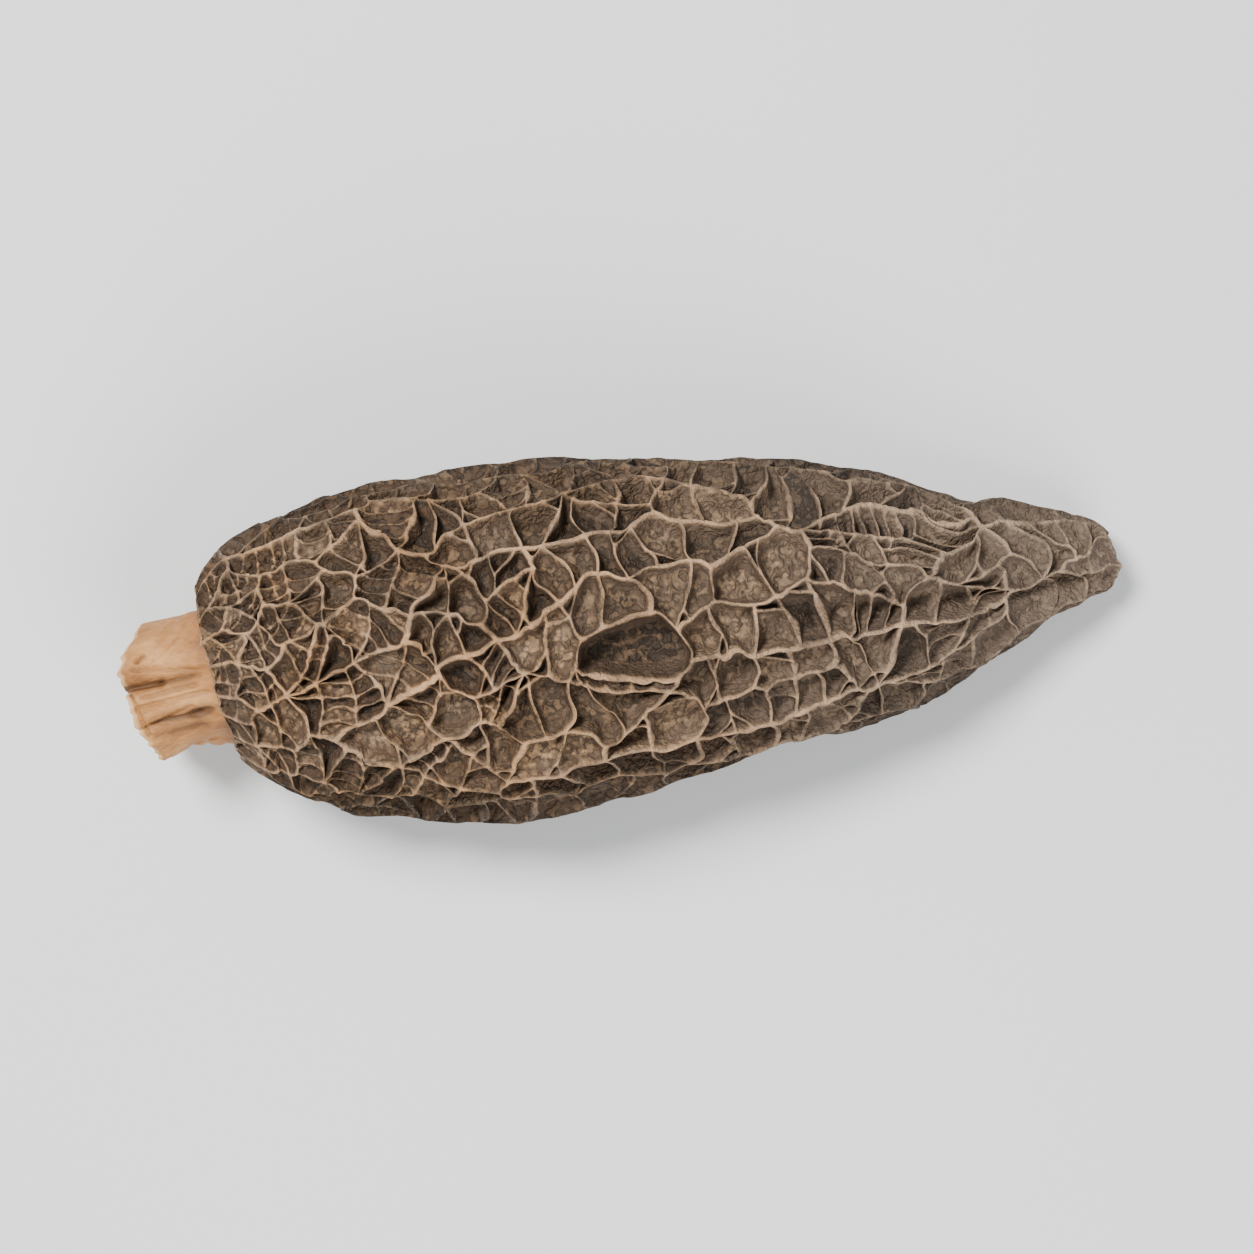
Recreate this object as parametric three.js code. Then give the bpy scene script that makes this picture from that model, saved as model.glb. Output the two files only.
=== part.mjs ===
// A dried black morel lying on its side: a hollow conical cap covered by a net of ribs and pits, and the
// short hollow stub of stem left below it when the mushroom was trimmed.
// Millimetres, +Z up. The mushroom lies along X, from the cut stem at -X to the tip of the cap at +X, and
// rests on z = 0. The origin is under the middle of its bounding box.

import * as THREE from "three";

// ---- Driving dimensions ------------------------------------------------------------------------------

const CAP_LENGTH = 63.9; // from the lower edge of the cap to its tip
const NOSE_RADIUS = 2.6; // the rounded end of the tip
// Each curve is a list of [mm from the lower edge of the cap, value], joined smoothly.
const HALF_WIDTH = [
  [0, 6.3], [1, 7.5], [2.5, 8.6], [5, 9.8], [8, 10.8], [13, 11.7], [20, 12.5], [27, 12.2],
  [34, 11.1], [42, 9.8], [48, 8.2], [52, 6.4], [56, 4.9], [60, 3.5], [64, 2.2],
];
// Height over width.
const FLATNESS = [[0, 0.9], [5, 0.83], [20, 0.8], [42, 0.8], [52, 0.86], [60, 0.93], [64, 1]];
const CENTRE_Y = [
  [0, 0.1], [4, 0.2], [8, 0.4], [13, 0.5], [20, -0.05], [27, -0.1], [34, -0.1],
  [42, 0], [48, 0], [52, -0.2], [56, 0.4], [60, 0.6], [64, 0.45],
];
const UNDERSIDE_LIFT = [
  [0, 2.4], [4.4, 1.1], [8, 0.4], [13, 0], [27, -0.1], [42, 0], [48, 0.15], [56, 0.6], [64, 1.2],
];
const BASE_SLANT = 0.156; // the lower edge of the cap leans back by this much for each mm towards +Y
const SLANT_END = 8; // and that lean has died out this far up the cap
const PRESSED_FLAT = 0.35; // how far the underside is pressed in where it lies on the surface

// Creases left by drying: [mm along the cap, degrees round it] from and to, with a width and a depth in mm.
// 0 degrees is the +Y side and 90 degrees the top. A fold that stands out has a depth below zero.
const CREASES = [
  { from: [0, 90], to: [18, 66], width: 1.2, depth: -0.6 },
  { from: [39, 96], to: [54, 101], width: 0.9, depth: 1.1 },
  { from: [51, 99], to: [62, 132], width: 0.9, depth: 1.0 },
  { from: [8, 52], to: [26, 62], width: 1.6, depth: 0.5 },
  { from: [30, 40], to: [54, 58], width: 1.5, depth: 0.7 },
  { from: [4, 165], to: [30, 150], width: 1.8, depth: 0.7 },
  { from: [22, 212], to: [52, 196], width: 1.7, depth: 1.1 },
  { from: [6, 330], to: [34, 344], width: 2.0, depth: 1.2 },
  { from: [28, 310], to: [56, 322], width: 1.4, depth: 0.9 },
  { from: [5, 236], to: [20, 228], width: 1.6, depth: 0.8 },
];
// Hollows where the wall has sunk: centre as above, with half length, half width and depth in mm. The first
// is one wide pit.
const DENTS = [
  { at: [28.4, 99], length: 3.2, width: 2.9, depth: 1.1 },
  { at: [46, 70], length: 5, width: 2.6, depth: 0.8 },
  { at: [16, 20], length: 6, width: 3, depth: 0.7 },
  { at: [38, 180], length: 5, width: 2.6, depth: 0.7 },
  { at: [24, 322], length: 6, width: 3.4, depth: 0.9 },
];
const WIDE_PIT_SPREAD = 0.5; // how far that wide pit has opened, as a share of its size before
const WIDE_PIT_CORE = 0.85; // no main crest's pits come nearer to its middle than this share of its size

// The net: pits are long cells between tall ribs, and lower cross ribs split many of them. Along a main
// crest the pits face each other in pairs. Each crest is [mm along, degrees round] from bend to bend.
const MAIN_CRESTS = [
  [[6.7, 108], [8.7, 98], [13.4, 88], [15.7, 70], [18.2, 63], [25.2, 59], [35.2, 52]],
  [[9.2, 121], [13.7, 110], [16.7, 96], [20.2, 88], [24.5, 80], [29.2, 72], [40.7, 65]],
  [[20.7, 140], [28.2, 134], [36.2, 138], [45.2, 134]],
  [[32, 103], [37.7, 107], [46.7, 106], [55, 116]],
  [[32, 89], [36.5, 92], [39.4, 80]],
  [[3.5, 33], [10.2, 35], [13.7, 53]],
  [[45, 48], [55, 40]],
  [[10, 4], [28, -4], [44, 6]],
  [[14, 178], [30, 172], [46, 180]],
  [[8, 226], [24, 232], [46, 222]],
  [[6, 312], [26, 306], [44, 316]],
];
const PIT_LENGTH = [
  [0, 2.6], [4, 3], [8, 3.5], [20, 4.2], [42, 4.5], [52, 5.2], [58, 4.4], [62, 2.8], [66, 2.1],
];
const PIT_WIDTH = [[0, 2.1], [4, 2.4], [8, 2.7], [20, 3], [42, 2.9], [52, 2.5], [58, 2.1], [62, 2], [66, 2.1]];
const PIT_DEPTH = [[0, 0.7], [4, 1.1], [20, 1.5], [44, 1.4], [54, 1.0], [66, 0.7]];
const PIT_DEPTH_SPREAD = 0.3; // a pit is this share shallower or deeper than that
const RIB_FOOT = 0.5; // from the crest of a rib to its foot, along the surface
const MOST_FOOT = 0.72; // the share of the way to a pit's middle that a foot may take
const STEEPEST = 3; // a narrow pit is no deeper than this many times its half width
const CROSS_RIB_DROP = 0.35; // a cross rib's crest sags by this share of the depth
const CREST_WAVE = 0.22; // how far crests rise and fall
const CROSS_RIB_SPACING = 3.4;
const PAIR_SPACING = { least: 0.95, more: 0.45 }; // of the pairs along a main crest, in pits
const CROWDED = 0.55; // a pit of a pair is left out where another is closer than this many pits
const CREST_ROOM = 0.95; // pits in rows are at least this many pits away from a main crest
const ROW_SPACING = 0.86; // rows of pits interlock, so they are closer than a pit's length
const UNEVENNESS = 0.6; // how far a pit strays from its place in its row, as a share of its size
const TIP_ZONE = 2; // the very tip is laid out as seen from its end
const SHORTEST_RIB = 0.6; // closer corners than this are one corner
const DRAWS = { row: 900, pair: 1300, crossRibs: 5000, crossRibAt: 6000, crossRibLean: 7470, depth: 8000 };
const SPOT = { at: 27, length: 6.5, width: 3.6 }; // pits are pressed shut where the cap rests

// The hollow inside.
const WALL = 2.75; // from the crests in to the lining
const CAVITY_END = 56.5;
const LINING_STATIONS = [3.6, 6, 10, 15, 22, 30, 38, 45, 50, 54];

// The stem: a flattened tube whose upper end sits in the cap's mouth.
const STEM_TOP = 2.1;
const STEM_END = -6.4;
const STEM_HALF_WIDTH = [[-6.4, 4.8], [-4.5, 4.7], [-2.5, 4.35], [-1, 4.2], [2.5, 4.2]];
const STEM_HALF_HEIGHT = [[-6.4, 4.15], [-3, 4], [2.5, 4.05]];
const STEM_SQUARENESS = 2.5; // the power in its section, where 2 is an ellipse
const STEM_CENTRE_Y = [[-6.4, -0.8], [-4.5, -0.5], [-1, 0.5], [2.5, 0.75]];
const STEM_CENTRE_Z = [[-6.4, 8.1], [0, 8.75], [2.5, 8.95]];
const STEM_LOBE = { angle: 215, spread: 30, height: 1.5, start: -3.2, full: -0.6 }; // a fold behind it
const STEM_WALL = 0.7;
const STEM_COLUMNS = 48;
const STEM_RINGS = 9;
const MOUTH_GAP = 0.35; // between the stem and the mouth of the cap
const MOUTH_DEPTH = 2.4;

// ---- Small helpers -----------------------------------------------------------------------------------

const radians = THREE.MathUtils.degToRad;
const smooth = THREE.MathUtils.smoothstep;

// A fixed random number from 0 to 1 for each whole number.
function chance(n) {
  const v = Math.sin(n * 127.1 + 311.7) * 43758.5453;
  return v - Math.floor(v);
}

// The smooth curve through a list of [x, value].
function along(knots, x) {
  const last = knots.length - 1;
  const slope = (i) => {
    const a = knots[Math.max(i - 1, 0)];
    const b = knots[Math.min(i + 1, last)];
    return (b[1] - a[1]) / (b[0] - a[0]);
  };
  if (x <= knots[0][0]) return knots[0][1] + slope(0) * (x - knots[0][0]);
  if (x >= knots[last][0]) return knots[last][1] + slope(last) * (x - knots[last][0]);
  let i = 0;
  while (knots[i + 1][0] < x) i++;
  const [x0, v0] = knots[i];
  const [x1, v1] = knots[i + 1];
  const h = x1 - x0;
  const t = (x - x0) / h;
  return (
    v0 * (1 + 2 * t) * (1 - t) ** 2 + slope(i) * h * t * (1 - t) ** 2 +
    v1 * t * t * (3 - 2 * t) + slope(i + 1) * h * t * t * (t - 1)
  );
}

// The shortest turn from one angle to another, in radians.
function turn(from, to) {
  const d = (to - from) % (2 * Math.PI);
  return d > Math.PI ? d - 2 * Math.PI : d < -Math.PI ? d + 2 * Math.PI : d;
}

// ---- The cap's outer form ----------------------------------------------------------------------------

const NOSE_START = CAP_LENGTH - NOSE_RADIUS;
const SIDE_LENGTH = NOSE_START + (NOSE_RADIUS * Math.PI) / 2; // up the side of the cap to its tip

// The station and the narrowing at a distance up the side of the cap.
function station(side) {
  const bend = Math.max(0, (side - NOSE_START) / NOSE_RADIUS);
  return { s: bend > 0 ? NOSE_START + NOSE_RADIUS * Math.sin(bend) : side, taper: Math.cos(bend) };
}

function meanRadius(side) {
  const { s, taper } = station(side);
  return (along(HALF_WIDTH, s) * taper * (1 + along(FLATNESS, s))) / 2;
}

// How far drying has drawn the wall in at a place, in mm.
function sunk(s, angle) {
  const radius = along(HALF_WIDTH, s);
  let depth = 0;
  for (const c of CREASES) {
    const t = (s - c.from[0]) / (c.to[0] - c.from[0]);
    const line = radians(c.from[1] + (c.to[1] - c.from[1]) * t);
    const off = (turn(line, angle) * radius) / c.width;
    depth += c.depth * smooth(t, -0.15, 0.2) * (1 - smooth(t, 0.8, 1.1)) * Math.exp(-off * off);
  }
  for (const d of DENTS) {
    const x = (s - d.at[0]) / d.length;
    const y = (turn(radians(d.at[1]), angle) * radius) / d.width;
    depth += d.depth * Math.exp(-x * x - y * y);
  }
  return depth;
}

function lumps(s, angle) {
  return (
    0.022 * Math.sin(2 * angle + 0.13 * s + 0.6) +
    0.016 * Math.sin(3 * angle - 0.21 * s + 2) +
    0.01 * Math.sin(5 * angle + 0.35 * s)
  );
}

function axisPoint(s) {
  const halfHeight = along(HALF_WIDTH, s) * along(FLATNESS, s);
  return new THREE.Vector3(s, along(CENTRE_Y, s), halfHeight + along(UNDERSIDE_LIFT, s) - PRESSED_FLAT);
}

// A point of the cap: side is the distance up its side, angle goes round it, and inset is the depth below
// the crests of the ribs.
function capPoint(side, angle, inset = 0) {
  const { s, taper } = station(side);
  const halfWidth = along(HALF_WIDTH, s) * taper * (1 + lumps(s, angle));
  const drawn = (inset + sunk(s, angle)) * taper;
  const y = (halfWidth - drawn) * Math.cos(angle);
  const z = (halfWidth * along(FLATNESS, s) - drawn) * Math.sin(angle);
  const lean = BASE_SLANT * (1 - smooth(s, 0, SLANT_END));
  const drawnBack = inset * Math.sqrt(1 - taper * taper);
  const point = axisPoint(s).add(new THREE.Vector3(-lean * y - drawnBack, y, z));
  point.z = Math.max(0, point.z);
  return point;
}

// ---- The net of ribs, laid out on a flat chart -------------------------------------------------------

// The chart rolls the cap out round its tip without shearing it: a place at angle a lies in direction a, and
// its distance from the middle is exp(-q), where q grows up the side. A pit that is long on the cap is about
// round on the chart.
const CHART_STEP = 0.1;
const CHART_Q = [0];
for (let side = 0; side < SIDE_LENGTH - CHART_STEP; side += CHART_STEP) {
  const middle = side + CHART_STEP / 2;
  const stretch = along(PIT_LENGTH, middle) / along(PIT_WIDTH, middle);
  CHART_Q.push(CHART_Q.at(-1) + CHART_STEP / (stretch * meanRadius(middle)));
}

function chartQ(side) {
  const x = side / CHART_STEP;
  const i = Math.min(Math.floor(Math.abs(x)), CHART_Q.length - 2);
  const q = CHART_Q[i] + (CHART_Q[i + 1] - CHART_Q[i]) * (Math.abs(x) - i);
  return x < 0 ? -q : q;
}

function sideAt(q) {
  const last = CHART_Q.length - 1;
  if (q >= CHART_Q[last]) return SIDE_LENGTH - (SIDE_LENGTH - last * CHART_STEP) * Math.exp(CHART_Q[last] - q);
  if (q <= 0) return 0;
  let low = 0;
  let high = last;
  while (high - low > 1) {
    const middle = (low + high) >> 1;
    if (CHART_Q[middle] <= q) low = middle;
    else high = middle;
  }
  return (low + (q - CHART_Q[low]) / (CHART_Q[high] - CHART_Q[low])) * CHART_STEP;
}

const onChart = (side, angle) => {
  const r = Math.exp(-chartQ(side));
  return [r * Math.cos(angle), r * Math.sin(angle)];
};
const offChart = ([x, y]) => ({ side: sideAt(-Math.log(Math.hypot(x, y))), angle: Math.atan2(y, x) });

// A place as mm from the middle of the wide pit, along and round, and how far out that is, where 1 is the
// pit's rim.
function fromWidePit({ side, angle }) {
  const { at, length, width } = DENTS[0];
  const x = side - at[0];
  const y = turn(radians(at[1]), angle) * meanRadius(side);
  return { x, y, out: Math.hypot(x / length, y / width) };
}

// Where a place of the net has moved to since the wide pit opened.
function pushedOut({ side, angle }) {
  const { x, y, out } = fromWidePit({ side, angle });
  const push = WIDE_PIT_SPREAD * Math.exp(-out * out);
  return { side: side + x * push, angle: angle + (y * push) / meanRadius(side) };
}

// How wide a pit at a chart point is on the chart.
function pitSize([x, y]) {
  const { side } = offChart([x, y]);
  return (Math.hypot(x, y) * along(PIT_WIDTH, side)) / meanRadius(side);
}

const gap = (a, b) => Math.hypot(a[0] - b[0], a[1] - b[1]);

// A main crest as chart points about a millimetre apart.
function crestLine(bends) {
  return bends.slice(1).flatMap(([s, degrees], k) => {
    const [fromS, fromDegrees] = bends[k];
    const steps = Math.ceil(Math.abs(s - fromS));
    return Array.from({ length: steps }, (_, i) => {
      const t = (i + 1) / steps;
      return onChart(fromS + (s - fromS) * t, radians(fromDegrees + (degrees - fromDegrees) * t));
    });
  });
}

// Pairs of pit middles that face each other across a main crest.
function pitsAlong(line, index) {
  const pairs = [];
  const draw = () => chance(DRAWS.pair + 40 * index + pairs.length);
  let next = 0.5; // how far it is to the next pair, in pits
  line.slice(1).forEach((end, k) => {
    const start = line[k];
    const size = pitSize(start);
    const long = gap(start, end) / size;
    const [ux, uy] = [(end[0] - start[0]) / long, (end[1] - start[1]) / long];
    for (; next < long; next += PAIR_SPACING.least + PAIR_SPACING.more * draw()) {
      const [x, y] = [start[0] + ux * next, start[1] + uy * next];
      pairs.push([x - uy / 2, y + ux / 2], [x + uy / 2, y - ux / 2]);
    }
    next -= long;
  });
  return pairs;
}

// How far a chart point is from a main crest.
const toLine = (p, line) => Math.min(...line.map((q) => gap(p, q)));

// The middles of the pits: those along the main crests, and then rows round the cap, each row offset from
// the one below it. The first row is mirrored below the cap's edge, so that ribs run along that edge.
function pitCentres() {
  const crests = MAIN_CRESTS.map(crestLine);
  const centres = [];
  const mirrored = [];
  for (const p of crests.flatMap(pitsAlong)) {
    const crowded = centres.some((other) => gap(p, other) < CROWDED * pitSize(p));
    if (!crowded && fromWidePit(offChart(p)).out > WIDE_PIT_CORE) centres.push(p);
  }
  let count = 0;
  let row = 0;
  for (let side = along(PIT_LENGTH, 0) / 2; side < SIDE_LENGTH - 1.5; row++) {
    const length = along(PIT_LENGTH, side);
    const around = Math.round((2 * Math.PI * meanRadius(side)) / along(PIT_WIDTH, side));
    const start = chance(DRAWS.row + row);
    for (let i = 0; i < around; i++) {
      count++;
      const rise = (chance(2 * count) - 0.5) * UNEVENNESS * (row ? 1 : 0.5) * length;
      const swing = (chance(2 * count + 1) - 0.5) * UNEVENNESS;
      const angle = ((i + start + swing) / around) * 2 * Math.PI;
      if (fromWidePit({ side: side + rise, angle }).out < 1) continue;
      const p = onChart(side + rise, angle);
      if (crests.some((line) => toLine(p, line) < CREST_ROOM * pitSize(p))) continue;
      centres.push(p);
      if (!row) mirrored.push(onChart(-side - rise, angle));
    }
    side += ROW_SPACING * length;
  }
  centres.push([1e-9, 0], onChart(DENTS[0].at[0], radians(DENTS[0].at[1])));
  return { centres, mirrored };
}

// The middle of the circle through three points, and its radius squared.
function circle(a, b, c) {
  const [bx, by] = [b[0] - a[0], b[1] - a[1]];
  const [cx, cy] = [c[0] - a[0], c[1] - a[1]];
  const d = 2 * (bx * cy - by * cx);
  const x = (cy * (bx * bx + by * by) - by * (cx * cx + cy * cy)) / d;
  const y = (bx * (cx * cx + cy * cy) - cx * (bx * bx + by * by)) / d;
  return { middle: [a[0] + x, a[1] + y], radius2: x * x + y * y };
}

// Delaunay triangles of points of the plane, added one by one.
function triangulate(points) {
  const far = 60;
  const all = [...points, [-far, -far], [far, -far], [0, far]];
  const n = points.length;
  const made = (ids) => ({ ids, ...circle(...ids.map((i) => all[i])) });
  let triangles = [made([n, n + 1, n + 2])];
  points.forEach((p, index) => {
    const edges = new Map();
    const kept = [];
    for (const t of triangles) {
      if ((p[0] - t.middle[0]) ** 2 + (p[1] - t.middle[1]) ** 2 >= t.radius2) {
        kept.push(t);
        continue;
      }
      for (let k = 0; k < 3; k++) {
        const edge = [t.ids[k], t.ids[(k + 1) % 3]];
        const back = `${edge[1]},${edge[0]}`;
        if (edges.has(back)) edges.delete(back);
        else edges.set(edge.join(), edge);
      }
    }
    triangles = kept.concat([...edges.values()].map(([a, b]) => made([a, b, index])));
  });
  return triangles.filter((t) => t.ids.every((i) => i < n));
}

// Lays the cap's surface near a chart point out flat, in mm: x up the side and y round the cap, or a plain
// end view where the point is at the tip. flat takes a chart point there, and chart takes it back.
function layFlat(home) {
  const { side: start, angle: facing } = offChart(home);
  const radius = meanRadius(start);
  if (SIDE_LENGTH - start < TIP_ZONE) {
    return {
      atTip: true,
      flat: (p) => {
        const { side, angle } = offChart(p);
        return [(SIDE_LENGTH - side) * Math.cos(angle), -(SIDE_LENGTH - side) * Math.sin(angle)];
      },
      chart: ([x, y]) => onChart(SIDE_LENGTH - Math.hypot(x, y), Math.atan2(-y, x)),
    };
  }
  return {
    atTip: false,
    flat: (p) => {
      const { side, angle } = offChart(p);
      return [side - start, turn(facing, angle) * radius];
    },
    chart: ([x, y]) => onChart(start + x, facing + y / radius),
  };
}

// The chart point in the middle of a loop of corner numbers.
function middleOf(loop, corners) {
  return [0, 1].map((d) => loop.reduce((sum, id) => sum + corners[id][d], 0) / loop.length);
}

// The pits as loops of corner numbers, and the corners as chart points.
function layOutPits() {
  const { centres, mirrored } = pitCentres();
  const triangles = triangulate([...centres, ...mirrored]);
  const corners = triangles.map(({ ids, middle }) => {
    if (ids.every((i) => i < centres.length)) return middle;
    const r = Math.hypot(...middle);
    return [middle[0] / r, middle[1] / r];
  });
  const onEdge = triangles.map(({ ids }) => ids.some((i) => i >= centres.length));
  const loops = centres.map(() => []);
  triangles.forEach(({ ids }, t) => ids.forEach((i) => loops[i]?.push(t)));
  loops.forEach((loop, i) => {
    const heading = (t) => Math.atan2(corners[t][1] - centres[i][1], corners[t][0] - centres[i][0]);
    loop.sort((a, b) => heading(a) - heading(b));
  });

  // Corners that nearly touch become one.
  const owner = corners.map((_, i) => i);
  const root = (i) => (owner[i] === i ? i : root(owner[i]));
  for (const loop of loops) {
    loop.forEach((a, k) => {
      const b = loop[(k + 1) % loop.length];
      const [i, j] = [root(a), root(b)];
      const { flat } = layFlat(corners[a]);
      const [from, to] = [flat(corners[a]), flat(corners[b])];
      if (i === j || Math.hypot(to[0] - from[0], to[1] - from[1]) >= SHORTEST_RIB) return;
      const [keep, drop] = onEdge[j] && !onEdge[i] ? [j, i] : [i, j];
      owner[drop] = keep;
    });
  }
  const cleaned = loops.map((loop) => {
    const ids = loop.map(root);
    return ids.filter((id, k) => id !== ids[(k + 1) % ids.length]);
  });
  return { corners, loops: cleaned.filter((loop) => loop.length > 2) };
}

// Splits long pits with cross ribs. A cross rib ends on a corner, or on a new corner that the pit on the
// other side gets too. A crossRibs entry is the middle of such a rib, which both its pits share.
function addCrossRibs({ corners, loops }) {
  const added = new Map(); // the new corners along each rib
  const key = (a, b) => (a < b ? `${a},${b}` : `${b},${a}`);
  const cuts = loops.map((loop, index) => {
    const { atTip, flat } = layFlat(middleOf(loop, corners));
    const place = loop.map((id) => flat(corners[id]));
    const lowest = Math.min(...place.map((p) => p[0]));
    const reach = Math.max(...place.map((p) => p[0])) - lowest;
    const room = reach / CROSS_RIB_SPACING + 0.9 * chance(DRAWS.crossRibs + index) - 0.5;
    const whole = atTip || fromWidePit(offChart(middleOf(loop, corners))).out < 0.5;
    const wanted = whole ? 0 : Math.min(2, Math.floor(room));
    const chords = [];
    for (let n = 0; n < wanted; n++) {
      const uneven = 0.12 * (chance(DRAWS.crossRibAt + 3 * index + n) - 0.5);
      const at = lowest + reach * ((n + 1) / (wanted + 1) + uneven);
      const lean = 1.1 * (chance(DRAWS.crossRibLean + 3 * index + n) - 0.5);
      const ends = [];
      loop.forEach((a, k) => {
        const b = loop[(k + 1) % loop.length];
        const [pa, pb] = [place[k], place[(k + 1) % loop.length]];
        const [da, db] = [pa[0] - at - lean * pa[1], pb[0] - at - lean * pb[1]];
        if (da * db >= 0) return;
        const share = da / (da - db);
        const long = Math.hypot(pb[0] - pa[0], pb[1] - pa[1]);
        if (share * long < SHORTEST_RIB) ends.push(a);
        else if ((1 - share) * long < SHORTEST_RIB) ends.push(b);
        else {
          const list = added.get(key(a, b)) ?? [];
          const t = a < b ? share : 1 - share;
          let found = list.find((c) => Math.abs(c.t - t) * long < SHORTEST_RIB);
          if (!found) {
            const [low, high] = a < b ? [a, b] : [b, a];
            corners.push([0, 1].map((d) => corners[low][d] + (corners[high][d] - corners[low][d]) * t));
            found = { t, id: corners.length - 1 };
            list.push(found);
            added.set(key(a, b), list);
          }
          ends.push(found.id);
        }
      });
      if (ends.length === 2 && ends[0] !== ends[1]) chords.push(ends);
    }
    return chords;
  });

  const crossRibs = new Set();
  const split = [];
  loops.forEach((loop, index) => {
    const full = loop.flatMap((a, k) => {
      const b = loop[(k + 1) % loop.length];
      const list = [...(added.get(key(a, b)) ?? [])].sort((p, q) => (a < b ? p.t - q.t : q.t - p.t));
      return [a, ...list.map((c) => c.id)];
    });
    let parts = [full];
    for (const [a, b] of cuts[index]) {
      parts = parts.flatMap((part) => {
        const [i, j] = [part.indexOf(a), part.indexOf(b)].sort((p, q) => p - q);
        if (i < 0 || j - i < 2 || part.length - (j - i) < 2) return [part];
        corners.push([0, 1].map((d) => (corners[a][d] + corners[b][d]) / 2));
        const middle = corners.length - 1;
        crossRibs.add(middle);
        return [[...part.slice(i, j + 1), middle], [...part.slice(j), ...part.slice(0, i + 1), middle]];
      });
    }
    parts.forEach((part) => split.push({ loop: part, pit: index }));
  });
  return { corners, cells: split, crossRibs };
}

// ---- The cap's mesh ----------------------------------------------------------------------------------

// How deep the pits are at a place, and how far a crest there is below the highest.
function pitDepth(side, angle, pit) {
  const { s } = station(side);
  const x = (s - SPOT.at) / SPOT.length;
  const y = (turn(radians(270), angle) * meanRadius(side)) / SPOT.width;
  const spread = 1 + PIT_DEPTH_SPREAD * (2 * chance(DRAWS.depth + pit) - 1);
  return along(PIT_DEPTH, s) * spread * smooth(Math.hypot(x, y), 0.75, 1.25);
}

function crestDrop(side, angle) {
  return (CREST_WAVE * (2 + Math.sin(1.3 * side + 4 * angle) + Math.sin(0.9 * side - 7 * angle + 1))) / 4;
}

// The centre of an area given by its corners on the flat.
function centroid(points) {
  let area = 0;
  const sum = [0, 0];
  points.forEach(([x, y], k) => {
    const [nx, ny] = points[(k + 1) % points.length];
    const w = x * ny - nx * y;
    area += w;
    sum[0] += (x + nx) * w;
    sum[1] += (y + ny) * w;
  });
  return [sum[0] / (3 * area), sum[1] / (3 * area)];
}

// How far a point lies inside each side of a cell.
function insetFrom(place, [x, y]) {
  return place.map((a, i) => {
    const b = place[(i + 1) % place.length];
    const cross = (b[0] - a[0]) * (y - a[1]) - (b[1] - a[1]) * (x - a[0]);
    return cross / Math.hypot(b[0] - a[0], b[1] - a[1]);
  });
}

// How far from a corner to the middle of its cell a wall reaches whose foot is RIB_FOOT inside every side,
// as a share of the way.
function footShare(place, k) {
  const here = insetFrom(place, place[k]);
  const there = insetFrom(place, [0, 0]);
  const shares = here.map((h, i) => (there[i] - h > 1e-6 ? (RIB_FOOT - h) / (there[i] - h) : 0));
  return Math.min(Math.max(...shares), MOST_FOOT);
}

// Triangles that fill an outline. The few that are too thin to clip are filled as a fan.
function tile(outline) {
  const clipped = THREE.ShapeUtils.triangulateShape(outline, []);
  if (clipped.length === outline.length - 2) return clipped;
  return outline.slice(2).map((_, k) => [0, k + 1, k + 2]);
}

function meshGeometry(points, faces) {
  const geometry = new THREE.BufferGeometry();
  geometry.setAttribute("position", new THREE.Float32BufferAttribute(points.flatMap((p) => p.toArray()), 3));
  geometry.setIndex(faces.flat());
  const flat = geometry.toNonIndexed();
  flat.computeVertexNormals();
  return flat;
}

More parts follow.
